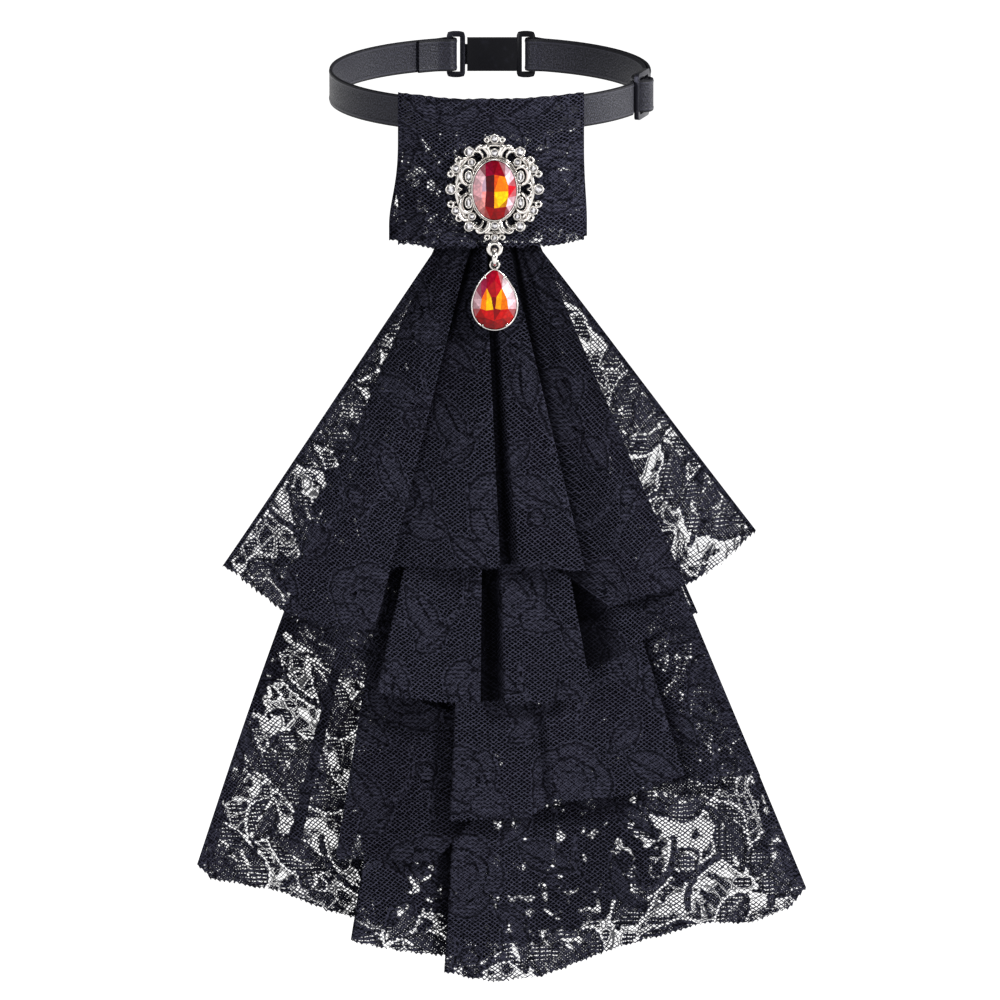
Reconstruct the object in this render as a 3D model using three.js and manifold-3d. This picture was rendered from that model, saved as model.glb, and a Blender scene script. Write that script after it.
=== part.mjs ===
import * as THREE from "three";
import { mergeVertices } from "three/addons/utils/BufferGeometryUtils.js";
import Module from "manifold-3d";

// A jabot: four tiers of pleated black lace under a folded lace panel, with a silver brooch
// and drop, on a satin neck strap with slider and clasp. Millimetres, +Z up, wearer's front at -Y.
// The origin is the centre of the neck loop.

const wasm = await Module();
wasm.setup();

// Clearances
const gap = 0.3;
const stoneGap = 0.12;
const mergeTolerance = 1e-4;
const sharpestMitre = 0.7;

// Neck strap: a flat satin elastic that runs round an oval
const neckHalfWidth = 48;
const neckHalfDepth = 52;
const strapHeight = 10;
const strapWall = 1;
const strapStepDeg = 5.5;
const layerPitch = strapWall + gap;
const sewnLength = 6.5;
const foldLineDeg = 20;
const foldOpenDeg = 120;
const weaveClearDeg = 9;
const stitchInset = 0.8;
const stitchBite = 0.05;

// Slider on the strap, at an angle round the neck loop from the wearer's left (+X)
const sliderAngleDeg = -18;
const sliderWire = 1.6;
const sliderThickness = 1.4;
const sliderSlot = 3.4;
const sliderSlotMargin = 0.5;
const sliderCorner = 1.2;

// Clasp at the back of the neck
const claspPlane = neckHalfDepth - 2.4;
const claspCentre = 0.55;
const plateLength = 15;
const plateHeight = 10;
const plateThickness = 2.6;
const ringWire = 1.6;
const ringSlot = 2.4;
const ringSlotMargin = 0.45;
const ringCorner = 1.3;
const tongueHeight = 6.2;
const tongueThickness = 0.9;
const tongueLength = 9;
const claspGap = 0.6;

// Lace panel folded over the strap
const panelWall = 1;
const panelLeft = -27.6;
const panelRight = 28.2;
const panelFlatHalf = 12;
const panelBackLeft = -30.3;
const panelBackRight = 29.1;
const panelDrop = 38.5;
const panelFrontBulge = 10.7;
const panelSideReturn = 8.7;
const panelBackReturn = 3.5;
const panelShoulder = 13;
const panelTilt = 0.02;
const panelSlantAt = 0.6;

// Tiers: pleated lace walls stacked from the back to the front
const laceWall = 1;
const jabotHalfWidth = 96;
const jabotLength = 226;
const headHalfWidth = 16;
const headPlane = -(neckHalfDepth + 0.5 * strapWall);
const headTop = -12;
const headPitch = 2.3;
const headDepth = 0.4;
const hemPitch = 6.5;
const hemDepth = 2.1;
const flareLength = 100;
const headStep = 1.5;
const foldNose = 0.9;
const foldNoseShare = 0.35;
const sideFall = 8;
const sideFallAt = 90;

// Brooch
const broochCentreX = 1.4;
const broochCentreZ = -19.7;
const broochBack = 0.3;
const stoneHalfWidth = 6.5;
const stoneHalfHeight = 1.385 * stoneHalfWidth;
const bezelWall = 0.55;
const bezelHeight = 3.2;
const floorThickness = 0.6;
const baseThickness = 1.2;
const scrollWidth = 0.84;
const outerRingHalfWidth = 1.754 * stoneHalfWidth;
const outerRingHalfHeight = 1.489 * stoneHalfHeight;
const outerRingWidth = 1.3;
const cupWall = 0.3;
const cupHeight = 1.9;
const cupFloor = 0.5;
const eyeletRadius = 2.5;
const eyeletHole = 1.15;
const eyeletThickness = 1.2;
const eyeletDrop = 1.33 * outerRingHalfHeight;
const eyeletForward = 3.3;
const openCupShare = 0.45;
const scrollHeight = 1.6;
const pinWire = 0.6;
const pinHalfLength = 6;
const pinHeight = 2;
const pinSetback = 2.2;
const pinHoleGap = 0.35;

// Jump ring and drop
const jumpRadius = 2.4;
const jumpWire = 0.45;
const loopRadius = 1.9;
const loopHole = 0.95;
const loopThickness = 0.9;
const dropWidth = 13.8;
const dropHeight = 18.8;
const dropTipBelowLoop = 1.1;
const dropRim = 0.6;
const dropBack = 1.3;
const dropRimFront = 0.7;
const prongRadius = 0.42;
const prongAcross = 0.2;
const prongDown = 0.09;

// Facets and sides
const roundSides = 12;
const cupSides = 8;
const bezelSides = 24;
const stoneSides = 24;
const crystalSides = 8;
const ringSides = 16;
const wireSides = 6;

// Colours and finishes
const finishes = {
  satin: { color: 0x26262f, roughness: 0.45, metalness: 0 },
  lace: { color: 0x181820, roughness: 0.9, metalness: 0 },
  gunmetal: { color: 0x3c3c42, roughness: 0.35, metalness: 0.9 },
  silver: { color: 0xd8d8dc, roughness: 0.2, metalness: 1 },
  ruby: { color: 0xb40a1e, roughness: 0.08, metalness: 0 },
  crystal: { color: 0xe6e8f0, roughness: 0.05, metalness: 0 },
};

const part = new THREE.Group();

// A table with named columns, as a list of rows
function table(columns, rows) {
  return rows.map((row) => Object.fromEntries(columns.map((name, i) => [name, row[i]])));
}

// Straight blend between two values
function blend(a, b, share) {
  return a + (b - a) * share;
}

// Soft step from 0 to 1
function softStep(value) {
  const t = Math.min(Math.max(value, 0), 1);
  return t * t * (3 - 2 * t);
}

// A closed geometry as a solid that can be joined and cut
function solidOf(geometry, matrix = new THREE.Matrix4()) {
  const bare = geometry.index ? geometry.toNonIndexed() : geometry.clone();
  bare.deleteAttribute("normal");
  bare.deleteAttribute("uv");
  const merged = mergeVertices(bare.applyMatrix4(matrix), mergeTolerance);
  const vertProperties = merged.attributes.position.array;
  const triVerts = new Uint32Array(merged.index.array);
  return new wasm.Manifold(new wasm.Mesh({ numProp: 3, vertProperties, triVerts }));
}

// A solid as a geometry
function geometryOf(solid) {
  const mesh = solid.getMesh();
  const geometry = new THREE.BufferGeometry();
  geometry.setAttribute("position", new THREE.BufferAttribute(mesh.vertProperties, 3));
  geometry.setIndex(new THREE.BufferAttribute(mesh.triVerts, 1));
  return geometry;
}

function joined(solids) {
  return solids.reduce((whole, piece) => whole.add(piece));
}

function addMesh(group, name, geometry, finish) {
  const mesh = new THREE.Mesh(geometry, new THREE.MeshStandardMaterial(finishes[finish]));
  mesh.name = name;
  group.add(mesh);
}

// A group whose X is the given sideways direction, whose Y is up and whose Z is forward of them
function upright(position, sideways = new THREE.Vector3(1, 0, 0)) {
  const up = new THREE.Vector3(0, 0, 1);
  const forward = sideways.clone().cross(up);
  const group = new THREE.Group();
  group.applyMatrix4(new THREE.Matrix4().makeBasis(sideways, up, forward));
  group.position.copy(position);
  part.add(group);
  return group;
}

// The path moved sideways by a distance, to the right of its direction
function offsetPath(points, distance) {
  const directions = points.slice(1).map((p, i) => p.clone().sub(points[i]).normalize());
  return points.map((p, i) => {
    const before = directions[Math.max(i - 1, 0)];
    const after = directions[Math.min(i, directions.length - 1)];
    const along = before.clone().add(after).normalize();
    const reach = distance / Math.max(along.dot(after), sharpestMitre);
    return new THREE.Vector2(p.x + along.y * reach, p.y - along.x * reach);
  });
}

// A closed wall between two grids of points, whose rows run down and columns to the right
function wallBetween(front, back) {
  const rows = front.length;
  const columns = front[0].length;
  const at = (side, r, c) => (side * rows + r) * columns + c;
  const index = [];
  const quad = (a, b, c, d) => index.push(a, b, c, a, c, d);
  for (let r = 0; r < rows - 1; r++) {
    for (let c = 0; c < columns - 1; c++) {
      quad(at(0, r, c), at(0, r + 1, c), at(0, r + 1, c + 1), at(0, r, c + 1));
      quad(at(1, r, c), at(1, r, c + 1), at(1, r + 1, c + 1), at(1, r + 1, c));
    }
    quad(at(0, r, 0), at(1, r, 0), at(1, r + 1, 0), at(0, r + 1, 0));
    const last = columns - 1;
    quad(at(0, r, last), at(0, r + 1, last), at(1, r + 1, last), at(1, r, last));
  }
  for (let c = 0; c < columns - 1; c++) {
    quad(at(0, 0, c), at(0, 0, c + 1), at(1, 0, c + 1), at(1, 0, c));
    const last = rows - 1;
    quad(at(0, last, c), at(1, last, c), at(1, last, c + 1), at(0, last, c + 1));
  }
  const position = [...front, ...back].flat().flatMap((p) => [p.x, p.y, p.z]);
  const geometry = new THREE.BufferGeometry();
  geometry.setAttribute("position", new THREE.Float32BufferAttribute(position, 3));
  geometry.setIndex(index);
  return geometry;
}

// An upright ribbon of even wall along a plan path
function ribbon(path, wall, height) {
  const side = (distance) => {
    const line = offsetPath(path, distance);
    return [height / 2, -height / 2].map((z) => line.map((p) => new THREE.Vector3(p.x, p.y, z)));
  };
  return solidOf(wallBetween(side(wall / 2), side(-wall / 2)));
}

function ellipsePoints(halfWidth, halfHeight, count, x = 0, y = 0, turn = 0) {
  return Array.from({ length: count }, (_, i) => {
    const angle = (2 * Math.PI * i) / count;
    const p = new THREE.Vector2(halfWidth * Math.cos(angle), halfHeight * Math.sin(angle));
    return p.rotateAround(new THREE.Vector2(), turn).add(new THREE.Vector2(x, y));
  });
}

function roundedRectangle(width, height, corner) {
  const shape = new THREE.Shape();
  const x = width / 2 - corner;
  const y = height / 2 - corner;
  shape.absarc(x, -y, corner, -Math.PI / 2, 0);
  shape.absarc(x, y, corner, 0, Math.PI / 2);
  shape.absarc(-x, y, corner, Math.PI / 2, Math.PI);
  shape.absarc(-x, -y, corner, Math.PI, 1.5 * Math.PI);
  return shape;
}

// An outline, with holes, raised from one height to another
function raised(outline, low, high, holes = []) {
  const prism = (line, from, to) => {
    const shape = line instanceof THREE.Shape ? line : new THREE.Shape(line);
    const options = { depth: to - from, bevelEnabled: false, steps: 1, curveSegments: 1 };
    return solidOf(new THREE.ExtrudeGeometry(shape, options).translate(0, 0, from));
  };
  const cut = (solid, hole) => solid.subtract(prism(hole, low - gap, high + gap));
  return holes.reduce(cut, prism(outline, low, high));
}

function rectanglePoints(width, height, x = 0) {
  const w = width / 2;
  const h = height / 2;
  return [[-w, -h], [w, -h], [w, h], [-w, h]].map(([px, py]) => new THREE.Vector2(px + x, py));
}

// A turned body whose axis is forward, at a place in the group's plane
function turned(profile, sides, x, y, stretch = 1) {
  const points = profile.map(([radius, height]) => new THREE.Vector2(radius, height));
  const geometry = new THREE.LatheGeometry(points, sides);
  const matrix = new THREE.Matrix4().makeTranslation(x, y, 0);
  matrix.multiply(new THREE.Matrix4().makeScale(1, stretch, 1));
  matrix.multiply(new THREE.Matrix4().makeRotationX(Math.PI / 2));
  return solidOf(geometry, matrix);
}

// Neck loop

function neckPoint(angle, inset = 0) {
  const p = new THREE.Vector2(neckHalfWidth * Math.cos(angle), neckHalfDepth * Math.sin(angle));
  const outward = new THREE.Vector2(neckHalfDepth * Math.cos(angle), neckHalfWidth * Math.sin(angle));
  return p.sub(outward.normalize().multiplyScalar(inset));
}

// Plan points round the neck loop from one angle to another, in degrees
function neckArc(fromDeg, toDeg, inset = 0) {
  const count = Math.max(1, Math.round(Math.abs(toDeg - fromDeg) / strapStepDeg));
  return Array.from({ length: count + 1 }, (_, i) => {
    return neckPoint(THREE.MathUtils.degToRad(blend(fromDeg, toDeg, i / count)), inset);
  });
}

// Points round an upright bar, from one angle to another
function aroundBar(centre, radius, fromDeg, toDeg) {
  const count = Math.max(1, Math.round(Math.abs(toDeg - fromDeg) / 45));
  return Array.from({ length: count + 1 }, (_, i) => {
    const angle = THREE.MathUtils.degToRad(blend(fromDeg, toDeg, i / count));
    return new THREE.Vector2(Math.cos(angle), Math.sin(angle)).multiplyScalar(radius).add(centre);
  });
}

// Bars of the clasp that the strap folds round
const ringWidth = ringSlot + 2 * ringWire;
const plateLeft = claspCentre - plateLength / 2;
const plateRight = claspCentre + plateLength / 2;
const tongueRingLeft = plateLeft - claspGap - ringWidth;
const leftBar = new THREE.Vector2(tongueRingLeft + ringWire / 2, claspPlane);
const rightBar = new THREE.Vector2(plateRight + ringWidth - ringWire / 2, claspPlane);
const foldRadius = Math.hypot(ringWire, ringWire) / 2 + gap + strapWall / 2;

// Slider place: across is along the strap, out is away from the neck
const sliderAngle = THREE.MathUtils.degToRad(sliderAngleDeg);
const sliderPoint = neckPoint(sliderAngle);
const across = new THREE.Vector2(
  -neckHalfWidth * Math.sin(sliderAngle),
  neckHalfDepth * Math.cos(sliderAngle),
).normalize();
const sliderPitch = sliderSlot + sliderWire;
const sliderWidth = 2 * sliderPitch + sliderWire;
const eyeRadius = Math.hypot(sliderWire, sliderThickness) / 2 + gap / 2 + strapWall / 2;

function nearSlider(along, out) {
  const away = new THREE.Vector2(across.y, -across.x);
  return sliderPoint.clone().addScaledVector(across, along).addScaledVector(away, out);
}

function neckStrap() {
  const under = -(sliderThickness / 2 + gap + strapWall / 2);
  const over = eyeRadius + strapWall + gap;
  const slotMid = sliderPitch - sliderWire / 2 - gap - strapWall / 2;
  const weave = table(["along", "out"], [
    [sliderPitch + sliderWire / 2, under],
    [slotMid + strapWall / 2, under],
    [slotMid, 0.4 * under],
    [0.94 * slotMid, 0.17 * over],
    [0.74 * slotMid, 0.66 * over],
    [0.38 * slotMid, 0.97 * over],
  ]);
  const layer = under - layerPitch;
  const looped = table(["along", "out"], [
    [1.3 * sliderPitch, layer - 0.5 * strapWall],
    [0.84 * sliderPitch, layer - 1.2 * strapWall],
    [0.52 * sliderPitch, layer - 0.9 * strapWall],
    [0.7 * eyeRadius, -1.17 * eyeRadius],
    [0.1 * eyeRadius, -eyeRadius],
  ]).map((row) => nearSlider(row.along, row.out));
  const sewnDeg = THREE.MathUtils.radToDeg(sewnLength / neckHalfWidth);
  const path = [
    ...neckArc(90 + foldLineDeg + sewnDeg, 90 + foldLineDeg, layerPitch),
    ...aroundBar(leftBar, foldRadius, -foldOpenDeg, foldOpenDeg),
    ...neckArc(90 + foldLineDeg, 360 + sliderAngleDeg - weaveClearDeg),
    ...weave.map((row) => nearSlider(-row.along, row.out)),
    ...weave.map((row) => nearSlider(row.along, row.out)).reverse(),
    ...neckArc(360 + sliderAngleDeg + weaveClearDeg, 450 - foldLineDeg),
    ...aroundBar(rightBar, foldRadius, 180 - foldOpenDeg, 180 + foldOpenDeg),
    ...neckArc(90 - foldLineDeg, sliderAngleDeg + weaveClearDeg, layerPitch),
    ...looped,
  ];
  const eyeOutline = (radius) => ellipsePoints(radius, radius, roundSides, ...sliderPoint);
  const eye = raised(
    eyeOutline(eyeRadius + strapWall / 2),
    -strapHeight / 2,
    strapHeight / 2,
    [eyeOutline(eyeRadius - strapWall / 2)],
  );
  const tailDeg = sliderAngleDeg + weaveClearDeg;
  const tailPath = [...neckArc(tailDeg + sewnDeg / 2, tailDeg, layerPitch), ...looped.slice(0, 2)];
  const tail = ribbon(offsetPath(tailPath, strapWall - stitchBite), strapWall, strapHeight);
  const seam = neckArc(90 + foldLineDeg + sewnDeg * 0.9, 90 + foldLineDeg + sewnDeg * 0.1, layerPitch / 2);
  const stitches = ribbon(seam, gap + 2 * stitchBite, strapHeight - 2 * stitchInset);
  return joined([ribbon(path, strapWall, strapHeight), eye, tail, stitches]);
}

addMesh(part, "neck_strap", geometryOf(neckStrap()), "satin");

// Slider

const sliderHeight = strapHeight + 2 * sliderSlotMargin + 2 * sliderWire;
const sliderSide = new THREE.Vector3(across.x, across.y, 0);
const sliderGroup = upright(new THREE.Vector3(sliderPoint.x, sliderPoint.y, 0), sliderSide);
const sliderHoles = [-1, 1].map((side) => {
  const height = strapHeight + 2 * sliderSlotMargin;
  return rectanglePoints(sliderSlot, height, (side * sliderPitch) / 2);
});
const sliderSolid = raised(
  roundedRectangle(sliderWidth, sliderHeight, sliderCorner),
  -sliderThickness / 2,
  sliderThickness / 2,
  sliderHoles,
);
addMesh(sliderGroup, "slider", geometryOf(sliderSolid), "gunmetal");

// Clasp: a ring with a tongue, and a ring with a hollow plate that takes it

const claspGroup = upright(new THREE.Vector3(0, claspPlane, 0));
const ringHeight = strapHeight + 2 * ringSlotMargin + 2 * ringWire;

function claspRing(left) {
  const centre = left + ringWidth / 2;
  const outline = roundedRectangle(ringWidth, ringHeight, ringCorner);
  const hole = rectanglePoints(ringSlot, strapHeight + 2 * ringSlotMargin);
  const ring = raised(outline, -ringWire / 2, ringWire / 2, [hole]);
  return ring.translate([centre, 0, 0]);
}

function block(left, right, height, thickness) {
  const points = rectanglePoints(right - left, height, (left + right) / 2);
  return raised(points, -thickness / 2, thickness / 2);
}

const tongueStart = tongueRingLeft + ringWidth - ringWire / 2;
const tongueEnd = plateLeft + tongueLength;
const tongue = joined([
  claspRing(tongueRingLeft),
  block(tongueStart, tongueEnd, tongueHeight, tongueThickness),
]);
addMesh(claspGroup, "clasp_tongue", geometryOf(tongue), "gunmetal");

const socketBody = joined([
  block(plateLeft, plateRight, plateHeight, plateThickness),
  block(plateRight - ringWire, plateRight + ringWire, plateHeight - ringWire, ringWire),
  claspRing(plateRight),
]);
const pocket = block(
  plateLeft - gap,
  tongueEnd + gap,
  tongueHeight + 2 * gap,
  tongueThickness + 2 * gap,
);
addMesh(claspGroup, "clasp_socket", geometryOf(socketBody.subtract(pocket)), "gunmetal");

// Lace panel: a sheet folded over the strap, whose front layer carries the brooch

const panelAcross = [-1, -0.86, -0.7, -0.52, -0.34, -0.17, 0, 0.17, 0.34, 0.52, 0.7, 0.86, 1];
const panelRows = table(["layer", "height", "turn"], [
  ["back", -panelDrop, 0],
  ["back", -0.65 * panelDrop, 0],
  ["back", -0.35 * panelDrop, 0],
  ["back", -strapHeight / 2 - gap, 0],
  ["fold", strapHeight / 2, 0],
  ["fold", strapHeight / 2, 45],
  ["fold", strapHeight / 2, 90],
  ["fold", strapHeight / 2, 135],
  ["fold", strapHeight / 2, 180],
  ["front", strapHeight / 2 - 0.25 * panelShoulder, 0],
  ["front", strapHeight / 2 - 0.5 * panelShoulder, 0],
  ["front", strapHeight / 2 - 0.75 * panelShoulder, 0],
  ["front", strapHeight / 2 - panelShoulder, 0],
  ["front", -0.5 * panelDrop, 0],
  ["front", -panelDrop, 0],
]);

// Depth of the strap's middle line at a sideways place, and its slant there
function strapPlane(x) {
  return -neckHalfDepth * Math.sqrt(1 - (x / neckHalfWidth) ** 2);
}

function strapSlant(x) {
  const slope = (strapPlane(x + 0.5) - strapPlane(x - 0.5));
  return Math.hypot(1, slope);
}

const panelReach = strapWall / 2 + gap + panelWall / 2;

function panelCentre(row, share) {
  const lower = softStep((strapHeight / 2 - row.height) / panelDrop);
  const left = row.layer === "back" ? blend(panelLeft, panelBackLeft, lower) : panelLeft;
  const right = row.layer === "back" ? blend(panelRight, panelBackRight, lower) : panelRight;
  const x = blend(left, right, (share + 1) / 2);
  const reach = panelReach * strapSlant(x);
  const side = Math.min(Math.max((Math.abs(x) - panelFlatHalf) / (panelRight - panelFlatHalf), 0), 1.1);
  const z = row.height + panelTilt * x * lower;
  if (row.layer === "fold") {
    const turn = THREE.MathUtils.degToRad(row.turn);
    return new THREE.Vector3(x, strapPlane(x) + reach * Math.cos(turn), z + panelReach * Math.sin(turn));
  }
  if (row.layer === "back") {
    const low = strapPlane(0) + panelReach + panelBackReturn * side ** 1.5;
    const clear = strapHeight / 2 + gap;
    const under = softStep((-clear - row.height) / (panelDrop - clear));
    return new THREE.Vector3(x, blend(strapPlane(x) + reach, low, under), z);
  }
  const low = -neckHalfDepth - panelFrontBulge + panelSideReturn * side ** 1.5;
  const shoulder = softStep((strapHeight / 2 - row.height) / panelShoulder);
  return new THREE.Vector3(x, blend(strapPlane(x) - reach, low, shoulder), z);
}

// Each column of the panel is its centre line moved half a wall outward and inward
function lacePanel() {
  const columns = panelAcross.map((share) => {
    const centres = panelRows.map((row) => panelCentre(row, share));
    const line = centres.map((p) => new THREE.Vector2(p.y, p.z));
    const x = centres.map((p) => p.x);
    const side = (distance) => {
      const wall = distance * strapSlant(panelSlantAt * x[0]);
      return offsetPath(line, wall).map((p, i) => new THREE.Vector3(x[i], p.x, p.y));
    };
    return { outer: side(panelWall / 2), inner: side(-panelWall / 2) };
  });
  const rows = (face) => panelRows.map((_, r) => columns.map((column) => column[face][r]));
  return solidOf(wallBetween(rows("outer"), rows("inner")));
}

// Brooch: its group's origin is the middle of the oval stone, on the back of the frame

const panelFace = -neckHalfDepth - panelFrontBulge - panelWall / 2;
const broochPlane = panelFace - broochBack;
const broochGroup = upright(new THREE.Vector3(broochCentreX, broochPlane, broochCentreZ));

function pinHoles() {
  const length = panelWall + 2 * gap;
  return [-1, 1].map((side) => {
    const post = new THREE.CylinderGeometry(
      pinWire + pinHoleGap,
      pinWire + pinHoleGap,
      length,
      cupSides,
    );
    const matrix = new THREE.Matrix4().makeTranslation(
      broochCentreX + side * pinHalfLength,
      panelFace + panelWall / 2,
      broochCentreZ + pinHeight,
    );
    return solidOf(post, matrix);
  });
}

const panelSolid = pinHoles().reduce((panel, hole) => panel.subtract(hole), lacePanel());
addMesh(part, "lace_panel", geometryOf(panelSolid), "lace");

// Places are shares of the outer ring's half width and half height, sizes are in millimetres
const outerCups = table(["across", "up", "radius", "set", "high"], [
  [0, 1.149, 1.45, true],
  [0.667, 0.851, 1.6, true],
  [1.018, 0.478, 1.4, true],
  [1.149, 0, 1.65, true],
  [1.018, -0.485, 1.4, true],
  [0.667, -0.843, 1.6, true],
  [0, -1.09, 1.2, true, eyeletForward],
  [0.202, 1.119, 1.05, false],
  [0.939, 0.657, 1.3, false],
  [1.149, 0.343, 1.2, false],
  [1.149, -0.343, 1.2, false],
  [0.93, -0.657, 1.3, false],
  [0.193, -1.097, 1.1, false],
]);
const innerCups = table(["across", "up", "radius", "stretch"], [
  [0, 0.825, 1.4, 1],
  [0.596, 0.619, 1.25, 1],
  [0.68, 0.299, 1.2, 1.5],
  [0.68, -0.299, 1.2, 1.5],
  [0.596, -0.612, 1.25, 1],
  [0, -0.825, 1.4, 1],
]);
const scrolls = table(["across", "up", "halfWidth", "halfHeight", "turnDeg"], [
  [0.307, 0.799, 1.5, 2.3, 28],
  [0.307, -0.799, 1.5, 2.3, -28],
  [0.754, 0.321, 2.1, 3.1, 14],
  [0.754, -0.321, 2.1, 3.1, -14],
  [0.807, 0, 2, 1, 0],
]);

// The same row on the left and right, once where it lies on the middle line
function mirrored(rows) {
  return rows.flatMap((row) => {
    const x = row.across * outerRingHalfWidth;
    const y = row.up * outerRingHalfHeight;
    return x === 0 ? [{ ...row, x, y }] : [{ ...row, x: -x, y }, { ...row, x, y }];
  });
}

const setCups = mirrored([...outerCups.filter((row) => row.set), ...innerCups]);
const openCups = mirrored(outerCups.filter((row) => !row.set));

function oval(halfWidth, halfHeight, low, high, x = 0, y = 0, turn = 0, sides = cupSides) {
  return raised(ellipsePoints(halfWidth, halfHeight, sides, x, y, turn), low, high);
}

// An oval band that lies on the back plane
function band(halfWidth, halfHeight, width, high, x, y, turn, sides) {
  const outer = oval(halfWidth + width / 2, halfHeight + width / 2, 0, high, x, y, turn, sides);
  const inner = oval(halfWidth - width / 2, halfHeight - width / 2, -gap, high + gap, x, y, turn, sides);
  return outer.subtract(inner);
}

// The pierced frame: everything that is soldered together, then the seats and holes cut from it
function broochFrame() {
  const seatWidth = stoneHalfWidth + stoneGap;
  const seatHeight = stoneHalfHeight + stoneGap;
  const bezel = oval(seatWidth + bezelWall, seatHeight + bezelWall, 0, bezelHeight, 0, 0, 0, bezelSides);
  const ring = band(
    outerRingHalfWidth, outerRingHalfHeight, outerRingWidth, baseThickness, 0, 0, 0, bezelSides,
  );
  const leaves = mirrored(scrolls).map((row) => {
    const turn = THREE.MathUtils.degToRad(row.x < 0 ? row.turnDeg : -row.turnDeg);
    return band(row.halfWidth, row.halfHeight, scrollWidth, scrollHeight, row.x, row.y, turn, roundSides);
  });
  const cups = [...setCups, ...openCups].map((row) => {
    return oval(row.radius, row.radius * (row.stretch ?? 1), 0, row.high ?? cupHeight, row.x, row.y);
  });
  const eyeletLow = eyeletForward - eyeletThickness / 2;
  const eyeletHigh = eyeletForward + eyeletThickness / 2;
  const eyelet = oval(eyeletRadius, eyeletRadius, eyeletLow, eyeletHigh, 0, -eyeletDrop, 0, roundSides);
  const posts = [-1, 1].map((side) => {
    return oval(pinWire, pinWire, -pinSetback, floorThickness / 2, side * pinHalfLength, pinHeight);
  });
  const bar = new THREE.CylinderGeometry(pinWire, pinWire, 2 * pinHalfLength + pinWire, wireSides);
  const barPlace = new THREE.Matrix4().makeTranslation(0, pinHeight, -pinSetback + pinWire / 2);
  barPlace.multiply(new THREE.Matrix4().makeRotationZ(Math.PI / 2));
  const seats = setCups.map((row) => {
    const reach = row.radius - cupWall;
    const stretch = row.stretch ?? 1;
    return oval(reach, row.radius * stretch - cupWall, cupFloor, bezelHeight + gap, row.x, row.y);
  });
  const holes = openCups.map((row) => {
    const reach = row.radius * openCupShare;
    return oval(reach, reach, -gap, cupHeight + gap, row.x, row.y);
  });
  const stoneSeat = oval(seatWidth, seatHeight, floorThickness, bezelHeight + gap, 0, 0, 0, bezelSides);
  const eyeletCut = oval(
    eyeletHole, eyeletHole, eyeletLow - gap, eyeletHigh + gap, 0, -eyeletDrop, 0, roundSides,
  );
  const metal = joined([bezel, ring, ...leaves, ...cups, eyelet]);
  const pierced = [...seats, ...holes, stoneSeat, eyeletCut].reduce((solid, cut) => solid.subtract(cut), metal);
  return joined([pierced, ...posts, solidOf(bar, barPlace)]);
}

addMesh(broochGroup, "brooch_frame", geometryOf(broochFrame()), "silver");

// A cut stone: a small flat under the girdle and a table on the crown, as [share, height] rows
function stoneRows(low, girdle, girdleTop, top, tableShare, footShare) {
  return [[0, low], [footShare, low], [1, girdle], [1, girdleTop], [tableShare, top], [0, top]];
}

const centreRows = stoneRows(floorThickness + stoneGap, 2.9, 3.4, 5.6, 0.56, 0.4);
const centreStone = turned(
  centreRows.map(([share, height]) => [share * stoneHalfWidth, height]),
  stoneSides, 0, 0, stoneHalfHeight / stoneHalfWidth,
);
addMesh(broochGroup, "centre_stone", geometryOf(centreStone), "ruby");

const crystalRows = stoneRows(cupFloor + stoneGap, 1.35, 1.6, 2.4, 0.55, 0.4);
setCups.forEach((row, i) => {
  const radius = row.radius - cupWall - stoneGap;
  const tall = row.radius * (row.stretch ?? 1) - cupWall - stoneGap;
  const profile = crystalRows.map(([share, height]) => [share * radius, height]);
  const crystal = turned(profile, crystalSides, row.x, row.y, tall / radius);
  addMesh(broochGroup, "crystal_" + String(i + 1).padStart(2, "0"), geometryOf(crystal), "crystal");
});

// Jump ring, upright through the eyelet, and the pear drop that hangs from it

const hangPlane = broochPlane - eyeletForward;
const eyeletZ = broochCentreZ - eyeletDrop;
const jumpGroup = upright(new THREE.Vector3(broochCentreX, hangPlane, eyeletZ - jumpRadius));
const jumpRing = new THREE.TorusGeometry(jumpRadius, jumpWire, wireSides, ringSides);
const jumpTurn = new THREE.Matrix4().makeRotationY(Math.PI / 2);
addMesh(jumpGroup, "jump_ring", geometryOf(solidOf(jumpRing, jumpTurn)), "silver");

const dropGroup = upright(new THREE.Vector3(broochCentreX, hangPlane, eyeletZ - 2 * jumpRadius));

// Pear outline with its tip up, drawn in by an inset
function pear(inset) {
  const count = 28;
  const widest = 0.862;
  const line = Array.from({ length: count + 1 }, (_, i) => {
    const angle = (2 * Math.PI * (i + 0.5)) / count;
    const swell = Math.sqrt(Math.abs(Math.sin(angle / 2)));
    const x = (-dropWidth / 2 / widest) * Math.sin(angle) * swell;
    const y = (dropHeight / 2) * (Math.cos(angle) - 1) - dropTipBelowLoop;
    return new THREE.Vector2(x, y);
  });
  const closed = [line[count - 1], ...line];
  return offsetPath(closed, -inset).slice(1, -1);
}

function dropSetting() {
  const back = raised(pear(0), -dropBack, floorThickness - dropBack);
  const rim = raised(pear(0), -dropBack, dropRimFront, [pear(dropRim)]);
  const loop = raised(
    ellipsePoints(loopRadius, loopRadius, roundSides),
    -loopThickness / 2,
    loopThickness / 2,
    [ellipsePoints(loopHole, loopHole, roundSides)],
  );
  const prongs = [-1, 1].map((side) => {
    const x = side * prongAcross * dropWidth;
    const y = -prongDown * dropHeight - dropTipBelowLoop;
    return oval(prongRadius, prongRadius, 0, dropRimFront + dropRim, x, y);
  });
  return joined([back, rim, loop, ...prongs]);
}

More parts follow.
